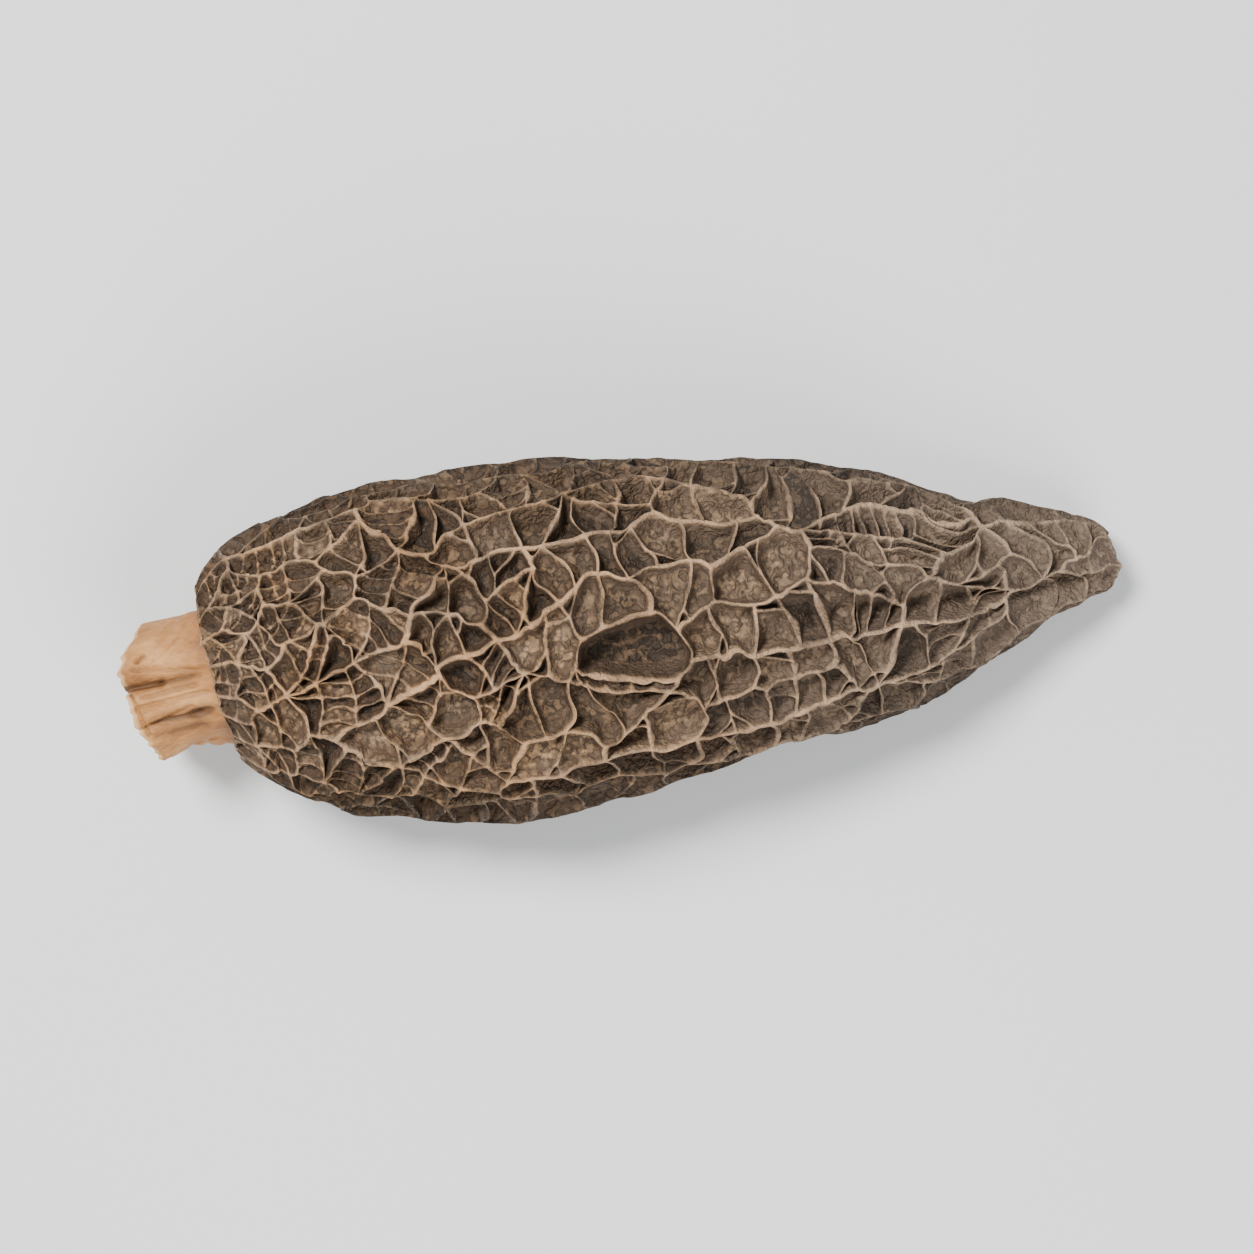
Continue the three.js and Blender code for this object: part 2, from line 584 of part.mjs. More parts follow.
function capGeometry() {
  const { corners, cells, crossRibs } = addCrossRibs(layOutPits());
  const points = [];
  const faces = [];
  const crest = new Map(); // corner number to point number
  const place = corners.map((p) => pushedOut(offChart(p)));

  // Each cell's floor sits inside its loop of crests, with a wall between them.
  for (const { loop, pit } of cells) {
    const { flat, chart } = layFlat(middleOf(loop, corners));
    const nearby = loop.map((id) => flat(corners[id]));
    const [mx, my] = centroid(nearby);
    const centre = chart([mx, my]);
    const centred = nearby.map(([x, y]) => [x - mx, y - my]);
    if (THREE.ShapeUtils.area(centred.map(([x, y]) => new THREE.Vector2(x, y))) < 0) {
      loop.reverse();
      centred.reverse();
    }
    const rim = loop.map((id) => {
      if (!crest.has(id)) {
        const { side, angle } = place[id];
        const sag = CROSS_RIB_DROP * pitDepth(side, angle, pit);
        const drop = crossRibs.has(id) ? sag : crestDrop(side, angle);
        crest.set(id, points.push(capPoint(side, angle, drop)) - 1);
      }
      return crest.get(id);
    });
    const shares = loop.map((_, k) => footShare(centred, k));
    const deepest = STEEPEST * Math.min(...insetFrom(centred, [0, 0]));
    const floor = loop.map((id, k) => {
      const foot = [0, 1].map((d) => corners[id][d] + (centre[d] - corners[id][d]) * shares[k]);
      const { side, angle } = pushedOut(offChart(foot));
      const depth = Math.min(pitDepth(side, angle, pit), deepest);
      return points.push(capPoint(side, angle, crestDrop(side, angle) + depth)) - 1;
    });
    rim.forEach((a, k) => {
      const next = (k + 1) % rim.length;
      faces.push([a, floor[k], rim[next]], [rim[next], floor[k], floor[next]]);
    });
    const outline = centred.map(([x, y], k) => new THREE.Vector2(x, y).multiplyScalar(1 - shares[k]));
    for (const [a, b, c] of tile(outline)) faces.push([floor[a], floor[c], floor[b]]);
  }

  // From the lower edge the surface turns in to the mouth, and on up the lining of the hollow.
  const edge = [...crest.keys()].filter((id) => Math.abs(Math.hypot(...corners[id]) - 1) < 1e-9);
  edge.sort((a, b) => place[a].angle - place[b].angle);
  let outer = edge.map((id) => crest.get(id));
  const mouth = [0, MOUTH_DEPTH].map((s) => (angle) => stemPoint(s, angle, MOUTH_GAP, 0));
  const lining = LINING_STATIONS.map((s) => (angle) => capPoint(s, angle, WALL));
  for (const ring of [...mouth, ...lining]) {
    const inner = edge.map((id) => points.push(ring(place[id].angle)) - 1);
    outer.forEach((a, k) => {
      const next = (k + 1) % outer.length;
      faces.push([a, inner[k], outer[next]], [outer[next], inner[k], inner[next]]);
    });
    outer = inner;
  }
  const end = points.push(axisPoint(CAVITY_END)) - 1;
  outer.forEach((a, k) => faces.push([a, end, outer[(k + 1) % outer.length]]));
  return meshGeometry(points, faces);
}

// ---- The stem ----------------------------------------------------------------------------------------

// A point of the stem, or of the mouth that it sits in, at an angle round it and a distance out from its
// skin. Pleats open towards the cut end.
function stemPoint(s, angle, out, pleated = 1) {
  const pleats =
    0.13 * Math.sin(7 * angle + 0.8) + 0.09 * Math.sin(11 * angle - 0.5 * s) + 0.07 * Math.sin(16 * angle + 2);
  const off = turn(radians(STEM_LOBE.angle), angle) / radians(STEM_LOBE.spread);
  const lobe = STEM_LOBE.height * smooth(s, STEM_LOBE.start, STEM_LOBE.full) * Math.exp(-off * off);
  const extra = out + lobe + pleats * smooth(-s, 0, 6) * pleated;
  const power = STEM_SQUARENESS;
  const fill = (Math.abs(Math.cos(angle)) ** power + Math.abs(Math.sin(angle)) ** power) ** (-1 / power);
  const y = (along(STEM_HALF_WIDTH, s) * fill + extra) * Math.cos(angle);
  const z = (along(STEM_HALF_HEIGHT, s) * fill + extra) * Math.sin(angle);
  const lean = BASE_SLANT * smooth(s, -4, 0);
  return new THREE.Vector3(
    s - lean * y,
    along(STEM_CENTRE_Y, s) + y,
    along(STEM_CENTRE_Z, s) - PRESSED_FLAT + z,
  );
}

// How far the cut end stops short at an angle round it: it is bowed and ragged.
function cutShort(angle) {
  const bow = 1.55 * Math.cos(angle) ** 2 - 0.35 * Math.cos(angle);
  return bow + 0.2 * Math.sin(5 * angle) + 0.18 * Math.sin(9 * angle + 1) + 0.1 * Math.sin(14 * angle);
}

function stemGeometry() {
  const points = [];
  const ring = (t, out) =>
    Array.from({ length: STEM_COLUMNS }, (_, k) => {
      const angle = (k / STEM_COLUMNS) * 2 * Math.PI;
      const end = STEM_END + cutShort(angle);
      return points.push(stemPoint(end + (STEM_TOP - end) * t, angle, out)) - 1;
    });
  const shares = Array.from({ length: STEM_RINGS + 1 }, (_, i) => i / STEM_RINGS);
  const skin = shares.map((t) => ring(t, 0));
  const bore = shares.map((t) => ring(t, -STEM_WALL)).reverse();
  const rings = [...skin, ...bore];
  const faces = rings.flatMap((a, i) => {
    const b = rings[(i + 1) % rings.length];
    return a.flatMap((p, k) => {
      const next = (k + 1) % STEM_COLUMNS;
      return [[p, a[next], b[k]], [b[k], a[next], b[next]]];
    });
  });
  return meshGeometry(points, faces);
}

// ---- The mushroom ------------------------------------------------------------------------------------

function piece(name, geometry, color, roughness) {
  const mesh = new THREE.Mesh(geometry, new THREE.MeshStandardMaterial({ color, roughness, metalness: 0 }));
  mesh.name = name;
  return mesh;
}

const morel = new THREE.Group();
morel.add(
  piece("cap", capGeometry(), new THREE.Color(0.3, 0.22, 0.15), 0.85),
  piece("stem", stemGeometry(), new THREE.Color(0.72, 0.54, 0.36), 0.8),
);
const middle = new THREE.Box3().setFromObject(morel).getCenter(new THREE.Vector3());
morel.children.forEach((mesh) => mesh.position.set(-middle.x, -middle.y, 0));

export default morel;
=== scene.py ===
import math
import bpy
import numpy as np
from mathutils import Matrix, Vector
from mathutils.geometry import delaunay_2d_cdt


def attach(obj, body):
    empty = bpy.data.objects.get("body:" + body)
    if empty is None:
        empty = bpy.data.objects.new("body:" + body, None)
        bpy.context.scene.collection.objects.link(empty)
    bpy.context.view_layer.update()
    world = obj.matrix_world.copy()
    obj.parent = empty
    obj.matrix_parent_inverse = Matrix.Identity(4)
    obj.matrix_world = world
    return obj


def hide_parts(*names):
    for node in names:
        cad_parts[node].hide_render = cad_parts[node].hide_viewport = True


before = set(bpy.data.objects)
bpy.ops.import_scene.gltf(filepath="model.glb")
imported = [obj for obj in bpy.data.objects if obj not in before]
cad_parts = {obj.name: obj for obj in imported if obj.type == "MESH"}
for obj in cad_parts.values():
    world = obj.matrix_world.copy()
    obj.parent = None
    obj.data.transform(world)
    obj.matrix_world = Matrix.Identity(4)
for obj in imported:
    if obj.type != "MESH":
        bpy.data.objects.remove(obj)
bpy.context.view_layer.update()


# ---- The stem --------------------------------------------------------------------------------------
# The cut stub of the hollow stem: one papery tube of pale flesh that grew into the cap. Drying flattened it
# and pleated its skin, and the knife left a thin ragged rim.

MM = 0.001  # sizes are in mm, "along" runs from the cap's lower edge to its tip, and 90 degrees round is up
CENTRING = np.array([-28.3458, 0.13576, 0.0])  # moves the middle of the mushroom to the middle of the frame
BASE_SLANT = 0.156  # how far the cap's lower edge leans along, for each mm across
PRESSED_FLAT = 0.35  # how much of the round underside lies pressed flat

STEM_TOP = 2.1
STEM_END = -6.4
STEM_WALL = 0.7
STEM_RADIUS = 4.6
STEM_SQUARENESS = 2.5
RIM_THINNING = 0.22
LOBE_ANGLE, LOBE_SPREAD, LOBE_HEIGHT = 215, 30, 1.5  # the fold low on one side, in degrees and mm
FOLDS_MIRROR = -0.8  # twice the line across that the folds are mirrored in on the underside
DEEPEST_CREASE = 0.45
# Each knot below is [mm along, mm].
STEM_HALF_WIDTH = [[-6.4, 4.8], [-4.5, 4.7], [-2.5, 4.35], [-1, 4.2], [2.5, 4.2]]
STEM_HALF_HEIGHT = [[-6.4, 4.15], [-3, 4], [2.5, 4.05]]
STEM_CENTRE_Y = [[-6.4, -0.8], [-4.5, -0.5], [-1, 0.5], [2.5, 0.75]]
STEM_CENTRE_Z = [[-6.4, 8.1], [0, 8.75], [2.5, 8.95]]
STEM_FOLDS = [  # mm along and across at one end, then at the other, width, depth
    (-6.3, 0.1, -3.6, 0.2, 0.28, 0.42), (-3.6, 0.2, -0.4, 0.4, 0.22, 0.2),
    (-4.6, -2.65, -1.6, -2.5, 0.22, 0.26), (-1.7, -2.45, 0.6, -2.1, 0.42, 0.4),
    (-5.2, -1.35, -0.6, -0.85, 0.19, 0.24), (-4.9, -0.7, -1.4, -0.3, 0.17, 0.2),
    (-5.4, 1.25, -0.4, 0.75, 0.17, 0.2), (-4.4, 2.1, -1.2, 5.0, 0.2, 0.16),
    (-3.7, 1.8, -0.6, 4.2, 0.2, 0.17), (-3, 1.5, 0, 3.4, 0.2, 0.15),
    (-5.0, 1.75, -4.65, 2.1, 0.18, 0.4), (-5.75, -0.4, -4.85, -3.4, 0.14, 0.28),
    (-4.3, -3.7, -1.6, -3.3, 0.3, 0.26), (-5.3, -3.0, -1.9, -1.7, 0.18, 0.18),
    (-6.5, 0.1, -1.5, 0.3, 1.0, 0.22), (-3.2, -2.7, 0.6, -2.1, 0.9, 0.22),
    (-4.9, -1.9, -1.4, -1.6, 0.35, -0.16), (-5.3, 0.85, -1.0, 1.0, 0.3, -0.12),
    (-4.8, 3.0, -1.5, 3.2, 1.1, -0.15),
]
CUT_EDGE = [  # degrees round, mm further in
    [0, -0.05], [20, 0.1], [36, 0.35], [51, -0.12], [58, 0.06], [67, -0.18], [82, 0.35],
    [100, 0.42], [115, 0.28], [127, 0.42], [150, 0.22], [172, -0.2], [190, 0.1], [210, 0.3],
    [235, -0.1], [260, 0.25], [285, 0], [310, 0.3], [335, -0.1], [360, -0.05],
]


def along(knots, x):
    """The value at x of a smooth curve through knots of [x, value]."""
    xs, vs = np.array(knots, float).T
    last = len(xs) - 1
    low, high = np.maximum(np.arange(last + 1) - 1, 0), np.minimum(np.arange(last + 1) + 1, last)
    slope = (vs[high] - vs[low]) / (xs[high] - xs[low])
    x = np.asarray(x, float)
    i = np.clip(np.searchsorted(xs, x) - 1, 0, last - 1)
    h = xs[i + 1] - xs[i]
    t = (x - xs[i]) / h
    inside = (
        vs[i] * (1 + 2 * t) * (1 - t) ** 2 + slope[i] * h * t * (1 - t) ** 2
        + vs[i + 1] * t * t * (3 - 2 * t) + slope[i + 1] * h * t * t * (t - 1)
    )
    before = vs[0] + slope[0] * (x - xs[0])
    after = vs[last] + slope[last] * (x - xs[last])
    return np.where(x <= xs[0], before, np.where(x >= xs[last], after, inside))


def smooth(x, low, high):
    """0 below low, 1 above high and an even rise between them."""
    t = np.clip((np.asarray(x, float) - low) / (high - low), 0, 1)
    return t * t * (3 - 2 * t)


def turn(start, end):
    """The shorter way round from one angle to another."""
    return (end - start + math.pi) % (2 * math.pi) - math.pi


def cloud(p, size, seed):
    """Smooth random values from -1 to 1 at points, with bumps of about the given size."""
    q = np.asarray(p, float) / size + seed * 17.31
    cell = np.floor(q)
    f = q - cell
    f = f * f * (3 - 2 * f)
    total = 0
    for dx in (0, 1):
        for dy in (0, 1):
            for dz in (0, 1):
                n = (cell[:, 0] + dx) * 12.9898 + (cell[:, 1] + dy) * 78.233 + (cell[:, 2] + dz) * 37.719
                v = np.sin(n) * 43758.5453
                w = (f[:, 0] if dx else 1 - f[:, 0]) * (f[:, 1] if dy else 1 - f[:, 1])
                total = total + (v - np.floor(v)) * w * (f[:, 2] if dz else 1 - f[:, 2])
    return 2 * total - 1


def filled(angle):
    """How much further out than an ellipse the slightly square stem reaches."""
    power = STEM_SQUARENESS
    return (np.abs(np.cos(angle)) ** power + np.abs(np.sin(angle)) ** power) ** (-1 / power)


def folded_in(s, angle):
    """How deep the creases of the dry skin are at a place, in mm."""
    y = along(STEM_CENTRE_Y, s) + along(STEM_HALF_WIDTH, s) * filled(angle) * np.cos(angle)
    y = np.where(np.sin(angle) > 0, y, FOLDS_MIRROR - y)
    depth = 0
    for s0, y0, s1, y1, width, deep in STEM_FOLDS:
        ds, dy = s1 - s0, y1 - y0
        t = np.clip(((s - s0) * ds + (y - y0) * dy) / (ds**2 + dy**2), 0, 1)
        off = np.hypot(s - s0 - t * ds, y - y0 - t * dy) / width
        depth = depth + deep * np.exp(-off * off)
    return depth * smooth(-s, -0.6, 1.5)


def stem_point(s, angle, out, pleated=1):
    """A point of the stem's skin, moved out by so many mm."""
    pleats = 0.1 * np.sin(7 * angle + 0.8) + 0.07 * np.sin(11 * angle - 0.5 * s)
    pleats = pleats + 0.06 * np.sin(16 * angle + 2)
    off = turn(math.radians(LOBE_ANGLE), angle) / math.radians(LOBE_SPREAD)
    lobe = LOBE_HEIGHT * smooth(s, -3.2, -0.6) * np.exp(-off * off)
    extra = out + lobe + (pleats * smooth(-s, 0, 6) - folded_in(s, angle)) * pleated
    fill = filled(angle)
    y = (along(STEM_HALF_WIDTH, s) * fill + extra) * np.cos(angle)
    z = (along(STEM_HALF_HEIGHT, s) * fill + extra) * np.sin(angle)
    lean = BASE_SLANT * smooth(s, -4, 0)
    height = along(STEM_CENTRE_Z, s) - PRESSED_FLAT
    return np.stack([s - lean * y, along(STEM_CENTRE_Y, s) + y, height + z], -1)


def cut_short(angle):
    """How far the cut end stops short: it is bowed, and torn in small teeth."""
    bow = 1.55 * np.cos(angle) ** 2 - 0.35 * np.cos(angle)
    ragged = np.interp(np.degrees(angle), *np.array(CUT_EDGE).T)
    return bow + ragged + 0.05 * np.sin(31 * angle + 1) + 0.04 * np.sin(53 * angle)


def corner_normals(points, faces):
    """The normal at each point, shared by all the faces round it."""
    f = np.array([x if len(x) == 4 else (*x, x[2]) for x in faces])
    a, b, c, d = (points[f[:, k]] for k in range(4))
    cross = np.cross(c - a, d - b)
    flat = f[:, 2] == f[:, 3]
    cross[flat] = np.cross(b[flat] - a[flat], c[flat] - a[flat])
    total = np.zeros_like(points)
    for k in range(4):
        np.add.at(total, f[:, k], cross)
    return total / np.maximum(1e-20, np.linalg.norm(total, axis=1))[:, None]


def build_mesh(name, points, faces, normals, **values):
    """An object of these faces, with one number for each point under each given name."""
    sizes = np.array([len(f) for f in faces])
    used, flat = np.unique(np.fromiter((i for f in faces for i in f), np.int64), return_inverse=True)
    mesh = bpy.data.meshes.new(name)
    mesh.vertices.add(len(used))
    mesh.vertices.foreach_set("co", points[used].astype(np.float32).ravel())
    mesh.loops.add(len(flat))
    mesh.loops.foreach_set("vertex_index", flat.astype(np.int32))
    mesh.polygons.add(len(faces))
    mesh.polygons.foreach_set("loop_start", (np.cumsum(sizes) - sizes).astype(np.int32))
    mesh.update(calc_edges=True)
    for key, value in values.items():
        mesh.attributes.new(key, "FLOAT", "POINT").data.foreach_set("value", value[used].astype(np.float32))
    mesh.shade_smooth()
    mesh.normals_split_custom_set_from_vertices(normals[used])
    made = bpy.data.objects.new(name, mesh)
    bpy.context.collection.objects.link(made)
    return made


def link(tree, *pairs):
    """Joins node sockets: each pair is an output and the input that it feeds."""
    for out, into in pairs:
        tree.links.new(out, into)


def ramp(tree, value, *stops):
    """The colour or grey that a value maps to, from stops of (value, colour)."""
    node = tree.nodes.new("ShaderNodeValToRGB")
    node.color_ramp.interpolation = "EASE"
    for element, (at, _) in zip(node.color_ramp.elements, (stops[0], stops[-1])):
        element.position = at
    for at, _ in stops[1:-1]:
        node.color_ramp.elements.new(at)
    for element, (_, colour) in zip(node.color_ramp.elements, stops):
        element.color = (*((colour,) * 3 if isinstance(colour, (int, float)) else colour), 1)
    link(tree, (value, node.inputs["Fac"]))
    return node.outputs["Color"]


def blend_colours(tree, share, first, second, kind="MIX"):
    """Two colours mixed by a share, where each can be a value or a socket."""
    node = tree.nodes.new("ShaderNodeMix")
    node.data_type, node.blend_type = "RGBA", kind
    for index, value in ((0, share), (6, first), (7, second)):
        if isinstance(value, bpy.types.NodeSocket):
            link(tree, (value, node.inputs[index]))
        elif index == 0:
            node.inputs[index].default_value = value
        else:
            node.inputs[index].default_value = (*value, 1)
    return node.outputs[2]


def scalar(tree, operation, *values, clamp=False):
    """A sum, product or the like of numbers and sockets."""
    node = tree.nodes.new("ShaderNodeMath")
    node.operation, node.use_clamp = operation, clamp
    for socket, value in zip(node.inputs, values):
        if isinstance(value, bpy.types.NodeSocket):
            link(tree, (value, socket))
        else:
            socket.default_value = value
    return node.outputs[0]


def texture(tree, kind, place, scale, **settings):
    """A noise or cell texture at a place and a scale."""
    node = tree.nodes.new(kind)
    link(tree, (place, node.inputs["Vector"]), (scale, node.inputs["Scale"]))
    for name, value in settings.items():
        node.inputs[name].default_value = value
    return node


# Dried flesh is mottled in soft patches, has a fine dry grain, is covered in tiny rounded beads and is
# crossed by fine wrinkles. Height is what stands out of it for a bump.
flesh = bpy.data.node_groups.new("Dried flesh", "ShaderNodeTree")
scales = {"Patch scale": 300, "Grain scale": 3000, "Bead scale": 2500, "Wrinkle scale": 1500, "Stretch": 1}
for name, default in scales.items():
    flesh.interface.new_socket(name, in_out="INPUT", socket_type="NodeSocketFloat").default_value = default
given = flesh.nodes.new("NodeGroupInput").outputs
squeeze = flesh.nodes.new("ShaderNodeCombineXYZ")
squeeze.inputs[1].default_value = squeeze.inputs[2].default_value = 1
scaled = flesh.nodes.new("ShaderNodeVectorMath")
scaled.operation = "MULTIPLY"
place = flesh.nodes.new("ShaderNodeTexCoord")
link(
    flesh,
    (given["Stretch"], squeeze.inputs[0]),
    (place.outputs["Object"], scaled.inputs[0]),
    (squeeze.outputs[0], scaled.inputs[1]),
)
here = scaled.outputs[0]
patches = texture(flesh, "ShaderNodeTexNoise", here, given["Patch scale"], Detail=4)
fine = texture(flesh, "ShaderNodeTexNoise", here, given["Grain scale"], Detail=3, Roughness=0.6)
folded = texture(flesh, "ShaderNodeTexNoise", here, given["Wrinkle scale"], Detail=2.5)
bead = texture(flesh, "ShaderNodeTexVoronoi", here, given["Bead scale"])
rounded = scalar(flesh, "MULTIPLY_ADD", bead.outputs["Distance"], -1.4, 1.0, clamp=True)
off_line = scalar(flesh, "ABSOLUTE", scalar(flesh, "SUBTRACT", folded.outputs["Fac"], 0.5))
wrinkle = scalar(flesh, "MULTIPLY_ADD", off_line, -13.0, 1.0, clamp=True)
raised = scalar(flesh, "ADD", scalar(flesh, "MULTIPLY_ADD", wrinkle, -0.9, rounded), fine.outputs["Fac"])
shown = {
    "Patches": patches.outputs["Fac"],
    "Grain": fine.outputs["Fac"],
    "Beads": scalar(flesh, "MULTIPLY", rounded, bead.outputs["Color"]),
    "Mottle": folded.outputs["Fac"],
    "Wrinkles": wrinkle,
    "Height": raised,
}
result = flesh.nodes.new("NodeGroupOutput")
for name, socket in shown.items():
    flesh.interface.new_socket(name, in_out="OUTPUT", socket_type="NodeSocketFloat")
    link(flesh, (socket, result.inputs[name]))


def new_material(name, roughness, specular):
    """A material with its tree, its Principled shader and a node that reads the flesh group."""
    made = bpy.data.materials.new(name)
    made.use_nodes = True
    tree = made.node_tree
    shader = tree.nodes["Principled BSDF"]
    shader.inputs["Roughness"].default_value = roughness
    shader.inputs["Specular IOR Level"].default_value = specular
    grown = tree.nodes.new("ShaderNodeGroup")
    grown.node_tree = flesh
    return made, tree, shader, grown


def finish_flesh(tree, shader, grown, colour, strength, depth):
    """Gives the material its colour and the relief of the flesh group, with the depth in mm."""
    bump = tree.nodes.new("ShaderNodeBump")
    bump.inputs["Strength"].default_value = strength
    bump.inputs["Distance"].default_value = depth * MM
    link(
        tree,
        (colour, shader.inputs["Base Color"]),
        (grown.outputs["Height"], bump.inputs["Height"]),
        (bump.outputs["Normal"], shader.inputs["Normal"]),
    )


def read(tree, name):
    """A number that the mesh holds at each point."""
    node = tree.nodes.new("ShaderNodeAttribute")
    node.attribute_name = name
    return node.outputs["Fac"]


columns = 420
rings_along = 84
stem_angle, share = np.meshgrid(np.arange(columns) / columns * 2 * math.pi, np.linspace(0, 1, rings_along))
end_at = STEM_END + cut_short(stem_angle)
s = end_at + (STEM_TOP - end_at) * share
tube = np.stack([s * 0.3, STEM_RADIUS * np.cos(stem_angle), STEM_RADIUS * np.sin(stem_angle)], -1)
tube = tube.reshape(-1, 3)
wrinkles = 0.07 * cloud(tube, 1.1, 21) + 0.04 * cloud(tube, 0.5, 22) + 0.015 * cloud(tube, 0.24, 23)
wrinkles = wrinkles.reshape(s.shape) * (0.35 + 0.65 * smooth(-s, -1.5, 5))
thinned = RIM_THINNING * (1 - smooth(share, 0, 0.05))
outer = stem_point(s, stem_angle, wrinkles - thinned)
inner = stem_point(s, stem_angle, 0.6 * wrinkles + thinned - STEM_WALL)
stem_points = (np.concatenate([outer.reshape(-1, 3), inner[::-1].reshape(-1, 3)]) + CENTRING) * MM
total = 2 * rings_along
i, k = np.meshgrid(np.arange(total), np.arange(columns), indexing="ij")
here = i * columns
up = (i + 1) % total * columns
nxt = (k + 1) % columns
corners = np.stack([here + k, here + nxt, up + nxt, up + k], -1).reshape(-1, 4)
stem_faces = [tuple(f) for f in corners.tolist()]


def both_skins(values):
    """Values for the outer skin, end to top, and then for the inner skin, top to end."""
    return np.concatenate([values.ravel(), values[::-1].ravel()])


stem = build_mesh(
    "Stem", stem_points, stem_faces, corner_normals(stem_points, stem_faces),
    share=both_skins(share),
    inside=np.repeat([0.0, 1.0], share.size),
    crease=both_skins(np.clip(folded_in(s, stem_angle) / DEEPEST_CREASE, 0, 1)),
)
skin, tree, shader, grown = new_material("Dried stem", 0.62, 0.3)
grown.inputs["Patch scale"].default_value = 420
grown.inputs["Grain scale"].default_value = 2600
grown.inputs["Stretch"].default_value = 0.55
tans = (0.3, (0.29, 0.118, 0.034)), (0.5, (0.41, 0.182, 0.056)), (0.7, (0.56, 0.285, 0.1))
tan = ramp(tree, grown.outputs["Patches"], *tans)
streaks = ramp(tree, grown.outputs["Grain"], (0.35, 0.5), (0.62, 1.0))
streaked = blend_colours(tree, 0.3, tan, streaks, "MULTIPLY")
rim_pale = ramp(tree, read(tree, "share"), (0.0, 1.0), (0.022, 0.6), (0.05, 0.0))
edged = blend_colours(tree, rim_pale, streaked, (0.72, 0.43, 0.2))
# Painted shade: the skin is darkened in its deep creases, the more the deeper they are.
crease_shade = ramp(tree, read(tree, "crease"), (0.15, 0.0), (0.6, 0.3), (1.0, 0.92))
crease_shaded = blend_colours(tree, crease_shade, edged, (0.1, 0.046, 0.018))
# Painted shadow: the stem is darkened towards its top, where it runs in under the cap.
cap_shadow = ramp(tree, read(tree, "share"), (0.5, (1, 1, 1)), (1, (0.72, 0.62, 0.55)))
toned = blend_colours(tree, 1.0, crease_shaded, cap_shadow, "MULTIPLY")
bore_brown = blend_colours(tree, 0.55, toned, (0.16, 0.09, 0.05))
lit = blend_colours(tree, read(tree, "inside"), toned, bore_brown)
finish_flesh(tree, shader, grown, lit, 0.35, 0.12)
stem.data.materials.append(skin)
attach(stem, "root")
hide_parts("stem")


# ---- The cap ---------------------------------------------------------------------------------------
# A dried black morel's cap: one hollow cone of flesh that grew as a net of ribs round open pits. Drying
# left the ribs as thin pale walls, drew the pits in and creased the sides. It is one body.

CAP_LENGTH = 63.9
NOSE_RADIUS = 2.6
SIDE_LENGTH = CAP_LENGTH - NOSE_RADIUS + NOSE_RADIUS * math.pi / 2
HALF_WIDTH = [  # mm along, mm
    [0, 6.3], [1, 7.5], [2.5, 8.6], [5, 9.8], [8, 10.8], [13, 11.7], [20, 12.5], [27, 12.2],
    [34, 11.1], [42, 9.8], [48, 8.2], [52, 6.4], [56, 4.9], [60, 3.5], [64, 2.2],
]
FLATNESS = [[0, 0.9], [5, 0.83], [20, 0.8], [42, 0.8], [52, 0.86], [60, 0.93], [64, 1]]
CENTRE_Y = [
    [0, 0.1], [4, 0.2], [8, 0.4], [13, 0.5], [20, -0.05], [27, -0.1], [34, -0.1],
    [42, 0], [48, 0], [52, -0.2], [56, 0.4], [60, 0.6], [64, 0.45],
]
UNDERSIDE_LIFT = [
    [0, 2.4], [4.4, 1.1], [8, 0.4], [13, 0], [27, -0.1], [42, 0], [48, 0.15], [56, 0.6], [64, 1.2],
]
SLANT_END = 8
CREASES = [  # mm along, degrees round, mm along, degrees round, width, depth
    (0, 90, 18, 66, 1.2, -0.6), (39, 96, 54, 101, 0.9, 1.1), (51, 99, 62, 132, 0.9, 1.0),
    (8, 52, 26, 62, 1.6, 0.5), (30, 40, 54, 58, 1.5, 0.7), (4, 165, 30, 150, 1.8, 0.7),
    (22, 212, 52, 196, 1.7, 1.1), (6, 330, 34, 344, 2.0, 1.2), (28, 310, 56, 322, 1.4, 0.9),
    (5, 236, 20, 228, 1.6, 0.8),
]
DENTS = [  # mm along, degrees round, half length, half width, depth
    (28.4, 99, 3.2, 2.9, 1.1), (46, 70, 5, 2.6, 0.8), (16, 20, 6, 3, 0.7),
    (38, 180, 5, 2.6, 0.7), (24, 322, 6, 3.4, 0.9),
]
MAIN_CRESTS = [  # mm along and degrees round, from bend to bend
    [(6.7, 108), (8.7, 98), (13.4, 88), (15.7, 70), (18.2, 63), (25.2, 59), (35.2, 52)],
    [(9.2, 121), (13.7, 110), (16.7, 96), (20.2, 88), (24.5, 80), (29.2, 72), (40.7, 65)],
    [(20.7, 140), (28.2, 134), (36.2, 138), (45.2, 134)],
    [(32, 103), (37.7, 107), (46.7, 106), (55, 116)],
    [(32, 89), (36.5, 92), (39.4, 80)],
    [(3.5, 33), (10.2, 35), (13.7, 53)],
    [(45, 48), (55, 40)],
    [(10, 4), (28, -4), (44, 6)],
    [(14, 178), (30, 172), (46, 180)],
    [(8, 226), (24, 232), (46, 222)],
    [(6, 312), (26, 306), (44, 316)],
]
PIT_LENGTH = [
    [0, 2.6], [4, 3], [8, 3.5], [20, 4.2], [42, 4.5], [52, 5.2], [58, 4.4], [62, 2.8], [66, 2.1],
]
PIT_WIDTH = [[0, 2.1], [4, 2.4], [8, 2.7], [20, 3], [42, 2.9], [52, 2.5], [58, 2.1], [62, 2], [66, 2.1]]
PIT_DEPTH = [[0, 0.7], [4, 1.1], [20, 1.5], [44, 1.4], [54, 1.0], [66, 0.7]]
WIDE_PIT = DENTS[0]
WIDE_PIT_FLOOR = 0.45  # the share of the way out from its middle that counts as its own floor
CLOSEST_CORNERS = 0.6  # corners of the net nearer than this are one corner
MAIN, PLAIN, CROSS, LADDER = range(4)  # main crests, ribs between pits, cross ribs, low ladder ribs


def chance(n):
    """A fixed draw from 0 to 1 for a number. Each use counts on from a number of its own."""
    v = np.sin(np.asarray(n, float) * 127.1 + 311.7) * 43758.5453
    return v - np.floor(v)


